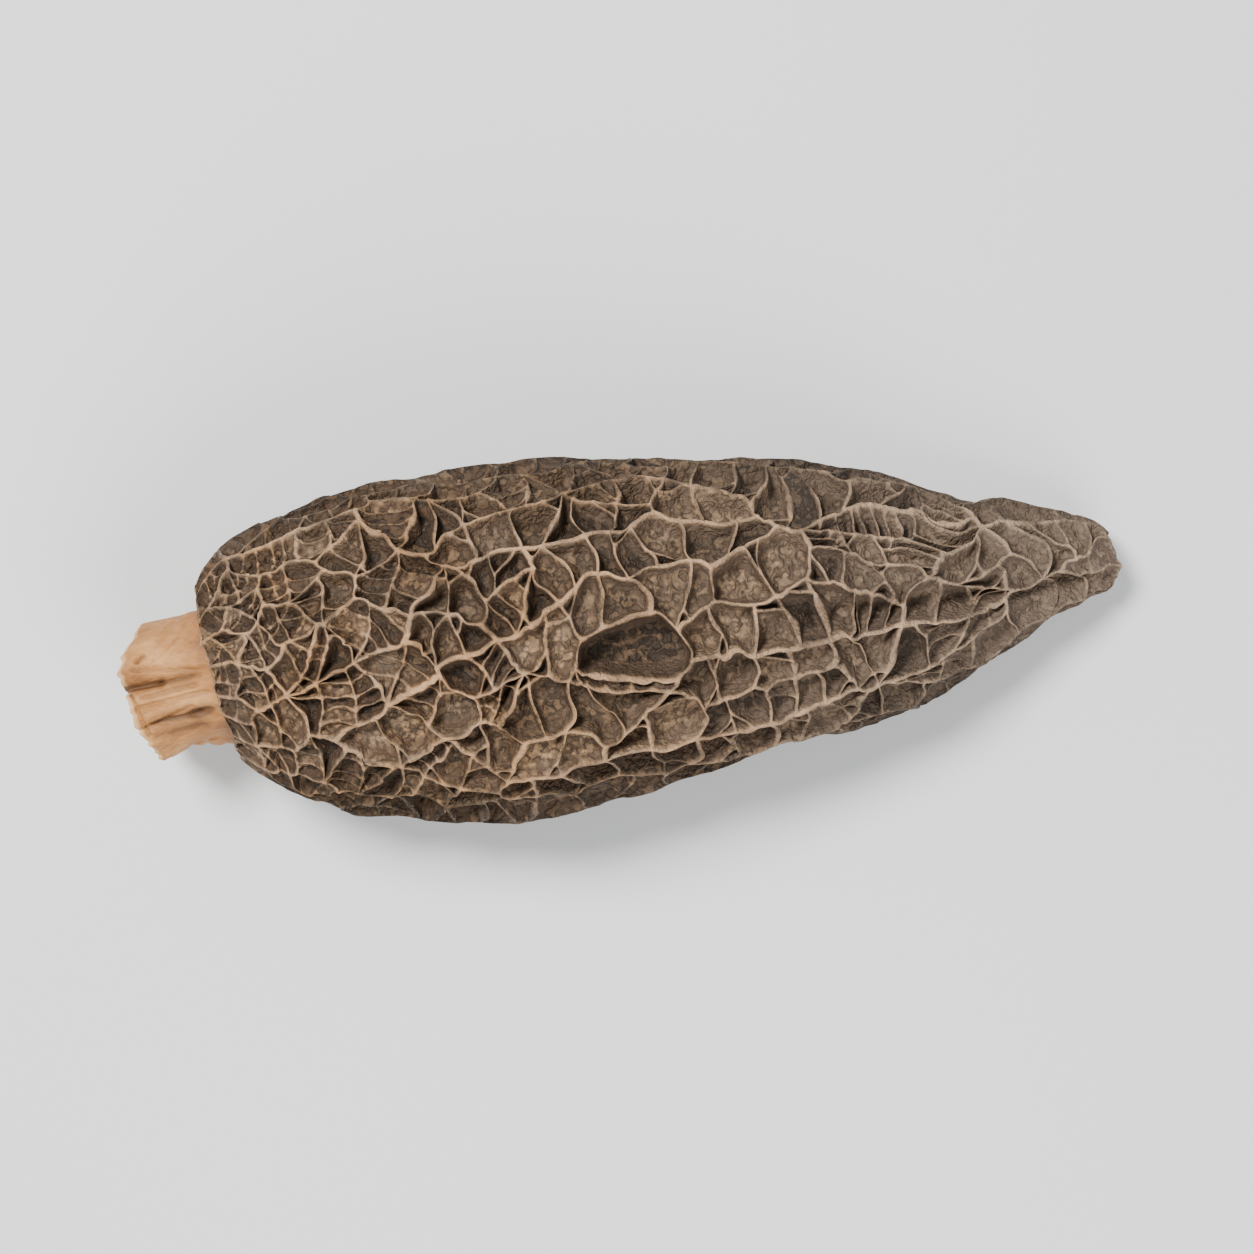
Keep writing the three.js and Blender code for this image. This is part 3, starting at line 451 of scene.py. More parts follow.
def beads(p, size):
    """Rounded grains packed side by side: 1 at the middle of a grain and 0 between grains."""
    q = np.asarray(p, float) / size
    cell = np.floor(q)
    nearest = np.full(len(q), 9.0)
    for dx in (-1, 0, 1):
        for dy in (-1, 0, 1):
            for dz in (-1, 0, 1):
                c = cell + (dx, dy, dz)
                n = c @ (12.9898, 78.233, 37.719)
                middle = c + np.stack([0.5 + 0.7 * (chance(n + k) - 0.5) for k in (0.0, 3.1, 7.7)], -1)
                nearest = np.minimum(nearest, ((q - middle) ** 2).sum(1))
    return np.maximum(0, 1 - nearest / 0.45)


def station(side):
    """Where a length up the cap's side is along it, and how much of its radius is left round the nose."""
    bend = np.maximum(0, (side - (CAP_LENGTH - NOSE_RADIUS)) / NOSE_RADIUS)
    return np.where(bend > 0, CAP_LENGTH - NOSE_RADIUS + NOSE_RADIUS * np.sin(bend), side), np.cos(bend)


def mean_radius(side):
    """How far the cap's side is from its middle, between its half width and its half height."""
    s, taper = station(side)
    return along(HALF_WIDTH, s) * taper * (1 + along(FLATNESS, s)) / 2


def sunk(s, angle):
    """How far the creases and dents draw the cap's side in."""
    radius = along(HALF_WIDTH, s)
    depth = 0
    for s0, a0, s1, a1, width, deep in CREASES:
        t = (s - s0) / (s1 - s0)
        off = turn(np.radians(a0 + (a1 - a0) * t), angle) * radius / width
        depth = depth + deep * smooth(t, -0.15, 0.2) * (1 - smooth(t, 0.8, 1.1)) * np.exp(-off * off)
    for s0, a0, length, width, deep in DENTS:
        x, y = (s - s0) / length, turn(math.radians(a0), angle) * radius / width
        depth = depth + deep * np.exp(-x * x - y * y)
    return depth


def cap_point(side, angle, inset=0.0):
    """A point of the cap, so many mm under its crests."""
    s, taper = station(side)
    lumps = (
        0.022 * np.sin(2 * angle + 0.13 * s + 0.6) + 0.016 * np.sin(3 * angle - 0.21 * s + 2)
        + 0.01 * np.sin(5 * angle + 0.35 * s)
    )
    half = along(HALF_WIDTH, s) * taper * (1 + lumps)
    drawn = (inset + sunk(s, angle)) * taper
    y = (half - drawn) * np.cos(angle)
    z = (half * along(FLATNESS, s) - drawn) * np.sin(angle)
    lean = BASE_SLANT * (1 - smooth(s, 0, SLANT_END))
    back = inset * np.sqrt(np.maximum(0, 1 - taper * taper))
    height = along(HALF_WIDTH, s) * along(FLATNESS, s) + along(UNDERSIDE_LIFT, s) - PRESSED_FLAT
    point = np.stack([s - lean * y - back, along(CENTRE_Y, s) + y, np.maximum(0, height + z)], -1)
    return point + CENTRING


# The net is laid out on a flat chart, as if the cap were rolled out round its tip.
steps = np.arange(0, SIDE_LENGTH - 0.1, 0.1) + 0.05
CHART_SIDE = np.concatenate([[0], steps + 0.05])
CHART_Q = np.concatenate(
    [[0], np.cumsum(0.1 * along(PIT_WIDTH, steps) / along(PIT_LENGTH, steps) / mean_radius(steps))]
)


def on_chart(side, angle):
    """The chart point of a length up the side and an angle round. Lengths below 0 land outside the edge."""
    side = np.asarray(side, float)
    q = np.interp(np.abs(side), CHART_SIDE, CHART_Q)
    left = np.maximum(1e-9, SIDE_LENGTH - np.abs(side))
    q = q + np.maximum(0, np.log((SIDE_LENGTH - CHART_SIDE[-1]) / left))
    r = np.exp(np.where(side < 0, -1, 1) * -q)
    return np.stack([r * np.cos(angle), r * np.sin(angle)], -1)


def off_chart(p):
    """The length up the side and the angle round of a chart point."""
    p = np.asarray(p, float)
    q = -np.log(np.maximum(1e-12, np.hypot(p[..., 0], p[..., 1])))
    side = np.interp(q, CHART_Q, CHART_SIDE)
    beyond = SIDE_LENGTH - (SIDE_LENGTH - CHART_SIDE[-1]) * np.exp(np.minimum(0, CHART_Q[-1] - q))
    return np.where(q > CHART_Q[-1], beyond, side), np.arctan2(p[..., 1], p[..., 0])


class Flat:
    """The surface near a place laid flat, in mm: up the side and round the cap, or an end view at the tip."""

    def __init__(self, home):
        self.side, self.angle = off_chart(home)
        self.radius = mean_radius(self.side)
        self.at_tip = SIDE_LENGTH - self.side < 2

    def lay(self, side, angle):
        """Where a place on the cap is on the flat sheet."""
        if self.at_tip:
            far = SIDE_LENGTH - side
            return np.stack([far * np.cos(angle), -far * np.sin(angle)], -1)
        return np.stack([side - self.side, turn(self.angle, angle) * self.radius], -1)

    def back(self, p):
        """The place on the cap of a point on the flat sheet."""
        if self.at_tip:
            return SIDE_LENGTH - np.hypot(p[..., 0], p[..., 1]), np.arctan2(-p[..., 1], p[..., 0])
        return self.side + p[..., 0], self.angle + p[..., 1] / self.radius


def from_wide_pit(side, angle):
    """How far a place is along and round from the middle of the wide pit, and as a share of its size."""
    x = side - WIDE_PIT[0]
    y = turn(math.radians(WIDE_PIT[1]), angle) * mean_radius(side)
    return x, y, np.hypot(x / WIDE_PIT[2], y / WIDE_PIT[3])


def pushed_out(side, angle):
    """Where a place of the net has moved to since the wide pit opened."""
    x, y, out = from_wide_pit(side, angle)
    push = 0.5 * np.exp(-out * out)
    return side + x * push, angle + y * push / np.maximum(0.05, mean_radius(side))


def pit_size(p):
    """How wide a pit at a chart point is on the chart."""
    side = off_chart(p)[0]
    return math.hypot(*p) * along(PIT_WIDTH, side) / mean_radius(side)


def crest_line(bends):
    """A main crest as chart points about a millimetre apart."""
    line = []
    for (s0, a0), (s1, a1) in zip(bends, bends[1:]):
        t = np.arange(1, math.ceil(s1 - s0) + 1) / math.ceil(s1 - s0)
        line.append(on_chart(s0 + (s1 - s0) * t, np.radians(a0 + (a1 - a0) * t)))
    return np.concatenate(line)


def pits_along(line, index):
    """Pairs of pit middles that face each other across a main crest."""
    pairs, ahead = [], 0.5
    for start, end in zip(line, line[1:]):
        long = np.hypot(*(end - start)) / pit_size(start)
        step = (end - start) / long
        across = np.array([-step[1], step[0]]) / 2
        while ahead < long:
            pairs += [start + step * ahead + across, start + step * ahead - across]
            ahead += 0.95 + 0.45 * chance(1300 + 40 * index + len(pairs))
        ahead -= long
    return pairs


crest_lines = [crest_line(bends) for bends in MAIN_CRESTS]


def to_crests(p):
    """How far a chart point is from the nearest main crest, in pits."""
    return min(np.hypot(*(line - p).T).min() for line in crest_lines) / pit_size(p)


def pit_centres():
    """The middles of the pits on the chart, and those of the first row mirrored over the cap's lower edge."""
    centres, mirrored, count, row = [], [], 0, 0
    for index, line in enumerate(crest_lines):
        for p in pits_along(line, index):
            if all(np.hypot(*(p - other)) >= 0.55 * pit_size(p) for other in centres):
                if from_wide_pit(*off_chart(p))[2] > 0.85:
                    centres.append(p)
    side = along(PIT_LENGTH, 0) / 2
    while side < SIDE_LENGTH - 1.5:
        length = along(PIT_LENGTH, side)
        in_row = math.floor(2 * math.pi * mean_radius(side) / along(PIT_WIDTH, side) + 0.5)
        start = chance(900 + row)
        for i in range(in_row):
            count += 1
            up = side + (chance(2 * count) - 0.5) * 0.6 * (1 if row else 0.5) * length
            angle = (i + start + (chance(2 * count + 1) - 0.5) * 0.6) / in_row * 2 * math.pi
            p = on_chart(up, angle)
            if from_wide_pit(up, angle)[2] < 1 or to_crests(p) < 0.95:
                continue
            centres.append(p)
            if not row:
                mirrored.append(on_chart(-up, angle))
        side += 0.86 * length
        row += 1
    centres += [np.array([1e-9, 0]), on_chart(WIDE_PIT[0], math.radians(WIDE_PIT[1]))]
    return np.array(centres), np.array(mirrored)


def around(loop):
    """The neighbours round a closed loop, as pairs."""
    return list(zip(loop, loop[1:] + loop[:1]))


def lay_out_pits():
    """The corners of the net as chart points, and each pit as a loop of corner numbers."""
    centres, mirrored = pit_centres()
    points = np.concatenate([centres, mirrored])
    faces = delaunay_2d_cdt([Vector(p) for p in points], [], [], 0, 1e-12)[2]
    tri = np.array([f for f in faces if len(f) == 3])
    a, b, c = points[tri[:, 0]], points[tri[:, 1]], points[tri[:, 2]]
    b, c = b - a, c - a
    d = 2 * (b[:, 0] * c[:, 1] - b[:, 1] * c[:, 0])
    bb, cc = (b * b).sum(1), (c * c).sum(1)
    corners = a + np.stack([c[:, 1] * bb - b[:, 1] * cc, b[:, 0] * cc - c[:, 0] * bb], 1) / d[:, None]
    on_edge = (tri >= len(centres)).any(1)
    corners[on_edge] /= np.hypot(*corners[on_edge].T)[:, None]
    loops = [[] for _ in centres]
    for t, ids in enumerate(tri):
        for i in ids:
            if i < len(centres):
                loops[i].append(t)
    for i, loop in enumerate(loops):
        loop.sort(key=lambda t: math.atan2(*(corners[t] - centres[i])[::-1]))
    owner = list(range(len(corners)))

    def root(i):
        while owner[i] != i:
            i = owner[i]
        return i

    for loop in loops:
        for p, q in around(loop):
            i, j = root(p), root(q)
            sheet = Flat(corners[p])
            here, there = sheet.lay(*off_chart(corners[p])), sheet.lay(*off_chart(corners[q]))
            if i != j and np.hypot(*(there - here)) < CLOSEST_CORNERS:
                keep, drop = (j, i) if on_edge[j] and not on_edge[i] else (i, j)
                owner[drop] = keep
    cleaned = []
    for loop in loops:
        ids = [t for t, following in around([root(t) for t in loop]) if t != following]
        if len(ids) > 2:
            cleaned.append(ids)
    return [list(p) for p in corners], cleaned


class Net:
    """The ribs: corners on the chart with how far the crest drops there, and ribs that join them."""

    def __init__(self):
        self.corners, loops = lay_out_pits()
        self.drop = [0.0] * len(self.corners)
        self.ribs = {}  # the kind of each rib and how far it sags, under its two corners
        self.cells = []
        for pit, loop in enumerate(loops):
            self.cells.append({"loop": loop, "pit": pit, "kind": MAIN})
            for a, b in around(loop):
                if self.key(a, b) not in self.ribs:
                    main = to_crests((np.array(self.corners[a]) + self.corners[b]) / 2) < 0.3
                    sag = 0.0 if main else 0.3 * float(chance(11 * min(a, b) + 7 * max(a, b))) ** 2
                    self.ribs[self.key(a, b)] = (MAIN if main else PLAIN, sag)

    @staticmethod
    def key(a, b):
        """The name of the rib between two corners, whichever way it is met."""
        return (min(a, b), max(a, b))

    @staticmethod
    def hang(t):
        """How a rib hangs between its two ends: down quickly, then level."""
        return 1 - np.abs(2 * np.asarray(t) - 1) ** 3.5

    def middle(self, loop):
        """The chart point amid the corners of a loop."""
        return np.mean([self.corners[i] for i in loop], 0)

    def cut(self, a, b, share, long, closest, added):
        """The corner where a new rib meets the rib from a to b: an old one nearby, or else a new one."""
        if share * long < closest:
            return a
        if (1 - share) * long < closest:
            return b
        t = share if a < b else 1 - share
        low, high = self.key(a, b)
        held = added.setdefault((low, high), [])
        for at, corner in held:
            if abs(at - t) * long < closest:
                return corner
        pl, ph = np.array(self.corners[low]), np.array(self.corners[high])
        self.corners.append(list(pl + (ph - pl) * t))
        rise = self.drop[low] + (self.drop[high] - self.drop[low]) * t
        self.drop.append(rise + self.ribs[(low, high)][1] * self.hang(t))
        held.append((t, len(self.corners) - 1))
        return held[-1][1]

    def halves(self, loop, a, b, rib):
        """A loop cut in two by a rib between two of its corners, or left whole where it can't be."""
        if a not in loop or b not in loop:
            return [loop]
        i, j = sorted((loop.index(a), loop.index(b)))
        if j - i < 2 or len(loop) - (j - i) < 2:
            return [loop]
        self.ribs[self.key(a, b)] = rib
        return [loop[i : j + 1], loop[j:] + loop[: i + 1]]

    def split(self, plan, kind, closest=CLOSEST_CORNERS):
        """Adds ribs across cells. plan gives each cell its lines as (normal, distance, sag) laid flat."""
        added, cuts = {}, []
        for index, cell in enumerate(self.cells):
            sheet = Flat(self.middle(cell["loop"]))
            place = [sheet.lay(*off_chart(self.corners[i])) for i in cell["loop"]]
            chords = []
            for normal, far, sag in plan(index, cell, sheet, np.array(place)):
                ends = []
                for (a, b), (pa, pb) in zip(around(cell["loop"]), around(place)):
                    da, db = normal @ pa - far, normal @ pb - far
                    if da * db < 0:
                        ends.append(self.cut(a, b, da / (da - db), np.hypot(*(pb - pa)), closest, added))
                if len(ends) == 2 and ends[0] != ends[1]:
                    chords.append((*ends, sag))
            cuts.append(chords)
        for (low, high), held in added.items():
            old_kind, sag = self.ribs.pop((low, high))
            line = [low] + [i for _, i in sorted(held)] + [high]
            for a, b in zip(line, line[1:]):
                self.ribs[self.key(a, b)] = (old_kind, sag * 0.3)
        made = []
        for cell, chords in zip(self.cells, cuts):
            loop = []
            for a, b in around(cell["loop"]):
                loop += [a] + [i for _, i in sorted(added.get(self.key(a, b), []), reverse=a > b)]
            parts = [loop]
            for a, b, sag in chords:
                parts = [half for part in parts for half in self.halves(part, a, b, (kind, sag))]
            new_kind = kind if len(parts) > 1 else cell["kind"]
            made += [{"loop": part, "pit": cell["pit"], "kind": new_kind} for part in parts]
        self.cells = made


def cross_ribs(index, cell, sheet, place):
    """Ribs that cut the longer pits across."""
    low = place[:, 0].min()
    reach = place[:, 0].max() - low
    whole = sheet.at_tip or from_wide_pit(sheet.side, sheet.angle)[2] < 0.5
    wanted = 0 if whole else min(2, math.floor(reach / 3.4 + 0.9 * chance(5000 + index) - 0.5))
    for n in range(wanted):
        at = low + reach * ((n + 1) / (wanted + 1) + 0.12 * (chance(6000 + 3 * index + n) - 0.5))
        lean = 1.1 * (chance(7470 + 3 * index + n) - 0.5)
        size = math.hypot(1, lean)
        yield np.array([1, -lean]) / size, at / size, 0.1 + 0.4 * chance(7700 + index)


def inner_rib(normal, far):
    """Plans a second rib inside the rim of the wide pit, on the side that the normal points to."""

    def plan(index, cell, sheet, place):
        if from_wide_pit(sheet.side, sheet.angle)[2] < WIDE_PIT_FLOOR:
            yield np.array(normal), (place @ normal).max() - far, 0.05

    return plan


def ladder_ribs(index, cell, sheet, place):
    """Low, close ribs that run across some pits, most of them near the base."""
    beside = from_wide_pit(sheet.side, sheet.angle)[2]
    if sheet.at_tip or sheet.side > 58 or beside < WIDE_PIT_FLOOR:
        return
    often = 1 if beside < 0.9 else 0.62 - 0.5 * smooth(sheet.side, 6, 24)
    if chance(9100 + index) > often:
        return
    yield from rungs(index, place, 0.85)


def base_ribs(index, cell, sheet, place):
    """More low ribs beside the stem, which make small square cells."""
    if sheet.side < 7 and 15 < math.degrees(sheet.angle) < 105 and chance(9200 + index) < 0.75:
        yield from rungs(index, place, 0.8)


def long_ribs(index, cell, sheet, place):
    """Ribs that run lengthwise in the long pits near the tip."""
    low, spread = place.min(0), place.max(0) - place.min(0)
    if not 39 < sheet.side < 57 or cell["kind"] == LADDER:
        return
    if spread[1] < 1.3 or spread[0] < 1.4 * spread[1]:
        return
    wanted = 2 if spread[1] > 1.9 else 1
    for n in range(wanted):
        lean = 0.3 * (chance(12000 + 2 * index + n) - 0.5)
        at = low[1] + spread[1] * (n + 1) / (wanted + 1)
        yield np.array([lean, 1]) / math.hypot(1, lean), at / math.hypot(1, lean), 0.2


def corner_ribs(index, cell, sheet, place):
    """Short ribs that cut off the sharpest corner of a pit and leave a small hole there."""
    beside = from_wide_pit(sheet.side, sheet.angle)[2]
    if sheet.at_tip or sheet.side > 56 or beside < WIDE_PIT_FLOOR or cell["kind"] == LADDER:
        return
    if chance(9960 + index) > 0.62:
        return
    ahead, behind = np.roll(place, -1, 0) - place, np.roll(place, 1, 0) - place
    sharp = (ahead * behind).sum(1) / (np.hypot(*ahead.T) * np.hypot(*behind.T))
    corner = int(np.argmax(sharp + 0.7 * np.array([chance(10000 + i) for i in cell["loop"]])))
    inward = place.mean(0) - place[corner]
    away = math.hypot(*inward)
    if away > 1.35:
        normal = inward / away
        yield normal, normal @ place[corner] + 0.8 + 0.45 * chance(11000 + index), 0.15


def rungs(index, place, spacing):
    """Up to four lines across a pit's longer way, about so many mm apart."""
    x, y = (place - place.mean(0)).T
    heading = 0.5 * math.atan2(2 * (x @ y), x @ x - y @ y)
    heading += 0.5 * (chance(9300 + index) - 0.5)
    normal = np.array([math.cos(heading), math.sin(heading)])
    spread = place @ normal
    low, reach = spread.min(), spread.max() - spread.min()
    wanted = int(min(4, reach / (spacing + 0.5 * chance(9500 + index)) - 0.6))
    for n in range(wanted):
        at = low + reach * (n + 1 + 0.25 * (chance(9700 + 5 * index + n) - 0.5)) / (wanted + 1)
        yield normal, at, 0.35 + 0.4 * chance(9900 + 5 * index + n)


RIB_HALF_WIDTH = (0.12, 0.08, 0.06, 0.045)  # in mm, for each of the four kinds
RIB_PALE = (1.0, 0.8, 0.65, 0.5)
RIB_BOW = (0.3, 0.34, 0.14, 0.08)
HOLE_ROOM = 0.75  # pits with less room than this from crest to centre are small dark holes
FURTHEST_IN = 2.1  # a ring's points go in at most this many times its distance from the crests
RINGS = (  # distance in from the edge of the crest, how much of the depth, paleness, rounding
    (0.0, 0.02, 0.85, 0), (0.04, 0.12, 0.45, 0), (0.09, 0.34, 0.2, 1), (0.16, 0.6, 0.07, 1),
    (0.25, 0.82, 0.0, 2), (0.37, 0.94, 0.0, 3), (0.53, 1.0, 0.0, 4), (0.71, 1.02, 0.0, 4),
    (0.91, 1.02, 0.0, 4), (1.13, 1.0, 0.0, 4), (1.38, 1.0, 0.0, 4), (1.7, 1.0, 0.0, 3), (2.1, 1.0, 0.0, 3),
)
NARROW_RINGS = (  # the same for narrow pits, with the distance as a share of their room
    (0.02, 0.02, 0.8, 0), (0.25, 0.3, 0.3, 0), (0.5, 0.75, 0.06, 1), (0.78, 1.0, 0.0, 1),
)


def pit_depth(s, angle, pit):
    """How deep a pit is, in mm. The pits that the cap rests on are pressed flat."""
    x = (s - 27) / 6.5
    y = turn(math.radians(270), angle) * along(HALF_WIDTH, s) / 3.6 * 0.9
    spread = 1 + 0.3 * (2 * chance(8000 + pit) - 1)
    wide = np.where(from_wide_pit(s, angle)[2] < WIDE_PIT_FLOOR, 1.5, 1.0)
    return along(PIT_DEPTH, s) * spread * wide * smooth(np.hypot(x, y), 0.75, 1.25)


def crest_drop(side, angle):
    """How far the crests dip at a place, in mm."""
    wave = 0.055 * (2 + np.sin(1.3 * side + 4 * angle) + np.sin(0.9 * side - 7 * angle + 1))
    p = cap_point(side, angle)
    return wave + 0.13 * cloud(p, 3.1, 1) + 0.05 * cloud(p, 1.1, 2)


def wander(side, angle):
    """Moves places on the cap a little, so that no rib is straight."""
    p = cap_point(side, angle)
    hold = smooth(SIDE_LENGTH - side, 1, 4)
    up = 0.45 * cloud(p, 4.3, 3) + 0.28 * cloud(p, 1.9, 4) + 0.1 * cloud(p, 0.8, 14)
    round_it = 0.45 * cloud(p, 4.3, 5) + 0.28 * cloud(p, 1.9, 6) + 0.1 * cloud(p, 0.8, 15)
    return side + up * hold, angle + round_it * hold / np.maximum(1.5, mean_radius(side))


net = Net()
net.split(cross_ribs, CROSS)
net.split(inner_rib((-0.845, 0.535), 0.8), MAIN, 0.3)
net.split(inner_rib((-0.28, 0.96), 0.8), MAIN, 0.3)
net.split(ladder_ribs, LADDER, 0.35)
net.split(base_ribs, LADDER, 0.35)
net.split(long_ribs, CROSS, 0.35)
net.split(corner_ribs, CROSS, 0.35)

SAMPLE = 0.24  # mm between points along a rib
FLOOR_STEP = 1.5 * SAMPLE
spots, faces, face_cell = [], [], []  # every spot is (side, angle, inset, paleness, depth share, tone); paleness and tone also carry painted shade
rib_points = {}
corner_points = {}
straight = {}  # where a point of a bowed rib would lie if the rib were straight


def add_spots(*values):
    """Adds spots, with one array or number for each of their values, and gives their numbers."""
    start = len(spots)
    spots.extend(zip(*(v.tolist() for v in np.broadcast_arrays(*values))))
    return list(range(start, len(spots)))


def add_faces(new, number):
    """Adds the faces of the pit with this number."""
    faces.extend(new)
    face_cell.extend([number] * len(new))


def between(outer, inner):
    """The faces between two rings of as many points."""
    return [(a, c, d, b) for (a, b), (c, d) in zip(around(outer), around(inner))]


def corner_point(i):
    """The spot at a corner of the net, which all the pits round it share."""
    if i not in corner_points:
        side, angle = off_chart(np.array(net.corners[i])[None])
        corner_points[i] = add_spots(side, angle, net.drop[i] + crest_drop(side, angle), 0.95, 0.0, 0.5)[0]
    return corner_points[i]


def rib_line(a, b):
    """The points along a rib's crest between two corners, without the corners."""
    low, high = net.key(a, b)
    if (low, high) not in rib_points:
        pl, ph = np.array(net.corners[low]), np.array(net.corners[high])
        sheet = Flat((pl + ph) / 2)
        run = sheet.lay(*off_chart(ph)) - sheet.lay(*off_chart(pl))
        n = max(2, math.ceil(np.hypot(*run) / SAMPLE))
        t = np.arange(1, n) / n
        kind, sag = net.ribs[(low, high)]
        side, angle = bent = off_chart(pl + (ph - pl) * t[:, None])
        bow = RIB_BOW[kind] * (chance(13 * low + 5 * high) - 0.5) * 4 * t * (1 - t)
        bow = bow + 0.3 * RIB_BOW[kind] * (chance(17 * low + 3 * high) - 0.5) * np.sin(2 * math.pi * t)
        if min(side) > 0.4:
            bent = sheet.back(sheet.lay(side, angle) + np.array([[-run[1], run[0]]]) * bow[:, None])
        base = net.drop[low] + (net.drop[high] - net.drop[low]) * t
        dull = 1 - RIB_PALE[kind] * (0.7 + 0.3 * chance(19 * low + 23 * high))
        line = base + sag * net.hang(t) + crest_drop(*bent)
        rib_points[(low, high)] = add_spots(*bent, line, 0.95 - dull * net.hang(t), 0.0, 0.5)
        straight.update(zip(rib_points[(low, high)], zip(side, angle)))
    line = rib_points[(low, high)]
    return line if a == low else line[::-1]


def area_and_centre(corner):
    """Twice the area inside a loop of flat points, and its centre."""
    following = np.roll(corner, -1, 0)
    cross = corner[:, 0] * following[:, 1] - following[:, 0] * corner[:, 1]
    return cross.sum(), ((corner + following) * cross[:, None]).sum(0) / (3 * cross.sum())


def add_pit(number, cell):
    """The walls and the floor of a pit, as rings from its crests in to its centre."""
    loop = cell["loop"]
    sheet = Flat(net.middle(loop))
    corner = np.array([sheet.lay(*off_chart(net.corners[i])) for i in loop])
    area, centre = area_and_centre(corner)
    if area < 0:
        loop, corner = loop[::-1], corner[::-1]
        area, centre = area_and_centre(corner)
    ribs = around(loop)
    width = np.array([RIB_HALF_WIDTH[net.ribs[net.key(a, b)][0]] for a, b in ribs])
    width *= [0.75 + 0.5 * chance(29 * min(a, b) + 31 * max(a, b)) for a, b in ribs]
    # Each pit's floor gets a tone at random, and a few pits drawn at random are darker in their own colour.
    # The wide pit's floor is set dark as painted shade.
    tone = float(chance(8500 + cell["pit"]))
    dark = tone > 0.9 or from_wide_pit(sheet.side, sheet.angle)[2] < WIDE_PIT_FLOOR
    tone = 0.0 if dark else 0.15 + 0.9 * tone
    rim = []
    for a, b in ribs:
        rim += [corner_point(a)] + list(rib_line(a, b))
    here = np.array([spots[i] for i in rim])
    edge = sheet.lay(here[:, 0], here[:, 1])
    unbent = np.array([straight.get(i, spots[i][:2]) for i in rim])
    unbent = sheet.lay(unbent[:, 0], unbent[:, 1])
    run = np.roll(corner, -1, 0) - corner
    normal = np.stack([-run[:, 1], run[:, 0]], 1) / np.hypot(*run.T)[:, None]
    off = ((unbent[:, None] - corner[None]) * normal[None]).sum(2)
    home = ((centre - corner) * normal).sum(1)
    room = max(0.08, (home - width).min())

    deepest = pit_depth(np.array([station(sheet.side)[0]]), np.array([float(sheet.angle)]), cell["pit"])[0]
    hole = room < HOLE_ROOM and chance(8700 + number) > 0.35 and sheet.side < 50
    # Painted shade: a hole's floor is set fully dark.
    if hole:
        tone = 0.0
        deepest = max(deepest, 1.2)
    shallow = 0.8 if cell["kind"] == LADDER else 1
    deepest = min(float(deepest) * shallow, 0.25 + (3.4 if hole else 2.4) * room) + 0.1
    rings = [r for r in RINGS if r[0] < room * 0.86] or [RINGS[0]]
    if len(rings) < 5:
        rings = [(room * f, d, p, n) for f, d, p, n in NARROW_RINGS]
    to_centre = np.hypot(*(centre - unbent).T)
    previous = rim
    for distance, deep, pale, passes in rings:
        gap = np.where(home - off > 1e-6, (width + distance - off) / np.maximum(1e-6, home - off), 0)
        share = np.minimum(gap.max(1), FURTHEST_IN * (width.mean() + distance) / to_centre)
        share = np.clip(share, 0, 0.97)[:, None]
        ring = unbent + (centre - unbent) * share + (edge - unbent) * (1 - share)
        for _ in range(passes):
            ring = (np.roll(ring, 1, 0) + 2 * ring + np.roll(ring, -1, 0)) / 4
        inset = here[:, 2] + (deepest - here[:, 2]) * deep
        ids = add_spots(*sheet.back(ring), np.maximum(inset, here[:, 2]), here[:, 3] * pale, deep, tone)
        add_faces(between(previous, ids), number)
        previous = ids
    inner_rings = math.ceil(np.hypot(*(centre - ring).T).max() / FLOOR_STEP)
    for n in range(1, inner_rings):
        share = n / inner_rings
        inward = sheet.back(ring + (centre - ring) * share)
        ids = add_spots(*inward, deepest, 0.0, 1 + 0.5 * share, tone)
        add_faces(between(previous, ids), number)
        previous = ids
    middle = add_spots(*sheet.back(centre[None]), deepest, 0.0, 1.5, tone)[0]
    add_faces([(a, middle, b) for a, b in around(previous)], number)


from_base = sorted(net.cells, key=lambda c: float(off_chart(net.middle(c["loop"]))[0]))
for number, cell in enumerate(from_base):
    add_pit(number, cell)

spots = np.array(spots)
base_hold = smooth(spots[:, 0], 0.2, 3)
pushed = pushed_out(spots[:, 0], spots[:, 1])
side, angle = wander(*pushed)
side = pushed[0] + (side - pushed[0]) * base_hold
angle = pushed[1] + (angle - pushed[1]) * base_hold
level = cap_point(side, angle, spots[:, 2])
side = side + (0.3 * cloud(level, 1.3, 31) + 0.15 * cloud(level, 0.5, 32)) * (1 - smooth(side, 0, 1.6))
floor_share = np.minimum(1, spots[:, 4])
near_base = 1 - smooth(side, 4, 22)
veins = np.clip(1 - 6 * np.abs(cloud(level * (1.7, 1, 1), 2.0, 41)), 0, 1)
veins = veins * smooth(spots[:, 4], 0.6, 1) * (1 - smooth(spots[:, 4], 1.1, 1.5))
grain = 0.12 * cloud(level, 1.0, 7) + 0.09 * cloud(level, 0.55, 8)
grain = grain - (0.03 + 0.09 * near_base) * beads(level, 0.5)
# Painted shade: on the side of the cap that turns down, the crests are made less pale and the pit floors
# darker.
turned_down = 1 - smooth(np.sin(angle), 0.1, 0.75)
crest_tone = 0.84 + 0.42 * cloud(level, 1.7, 33) + 0.16 * cloud(level, 0.6, 34)
spots[:, 3] *= np.clip(crest_tone, 0.35, 1.25) * (1 - 0.78 * turned_down)
spots[:, 5] = np.maximum(spots[:, 5] * (1 - 0.7 * turned_down), 0.75 * smooth(side, 48, 64))
fray = 0.05 * cloud(level, 0.7, 9) + 0.02 * cloud(level, 0.35, 10)
spots[:, 3] += 0.36 * veins
inset = spots[:, 2] + grain * floor_share + fray * (1 - floor_share) - 0.15 * veins
cap_spots = cap_point(side, angle, inset)

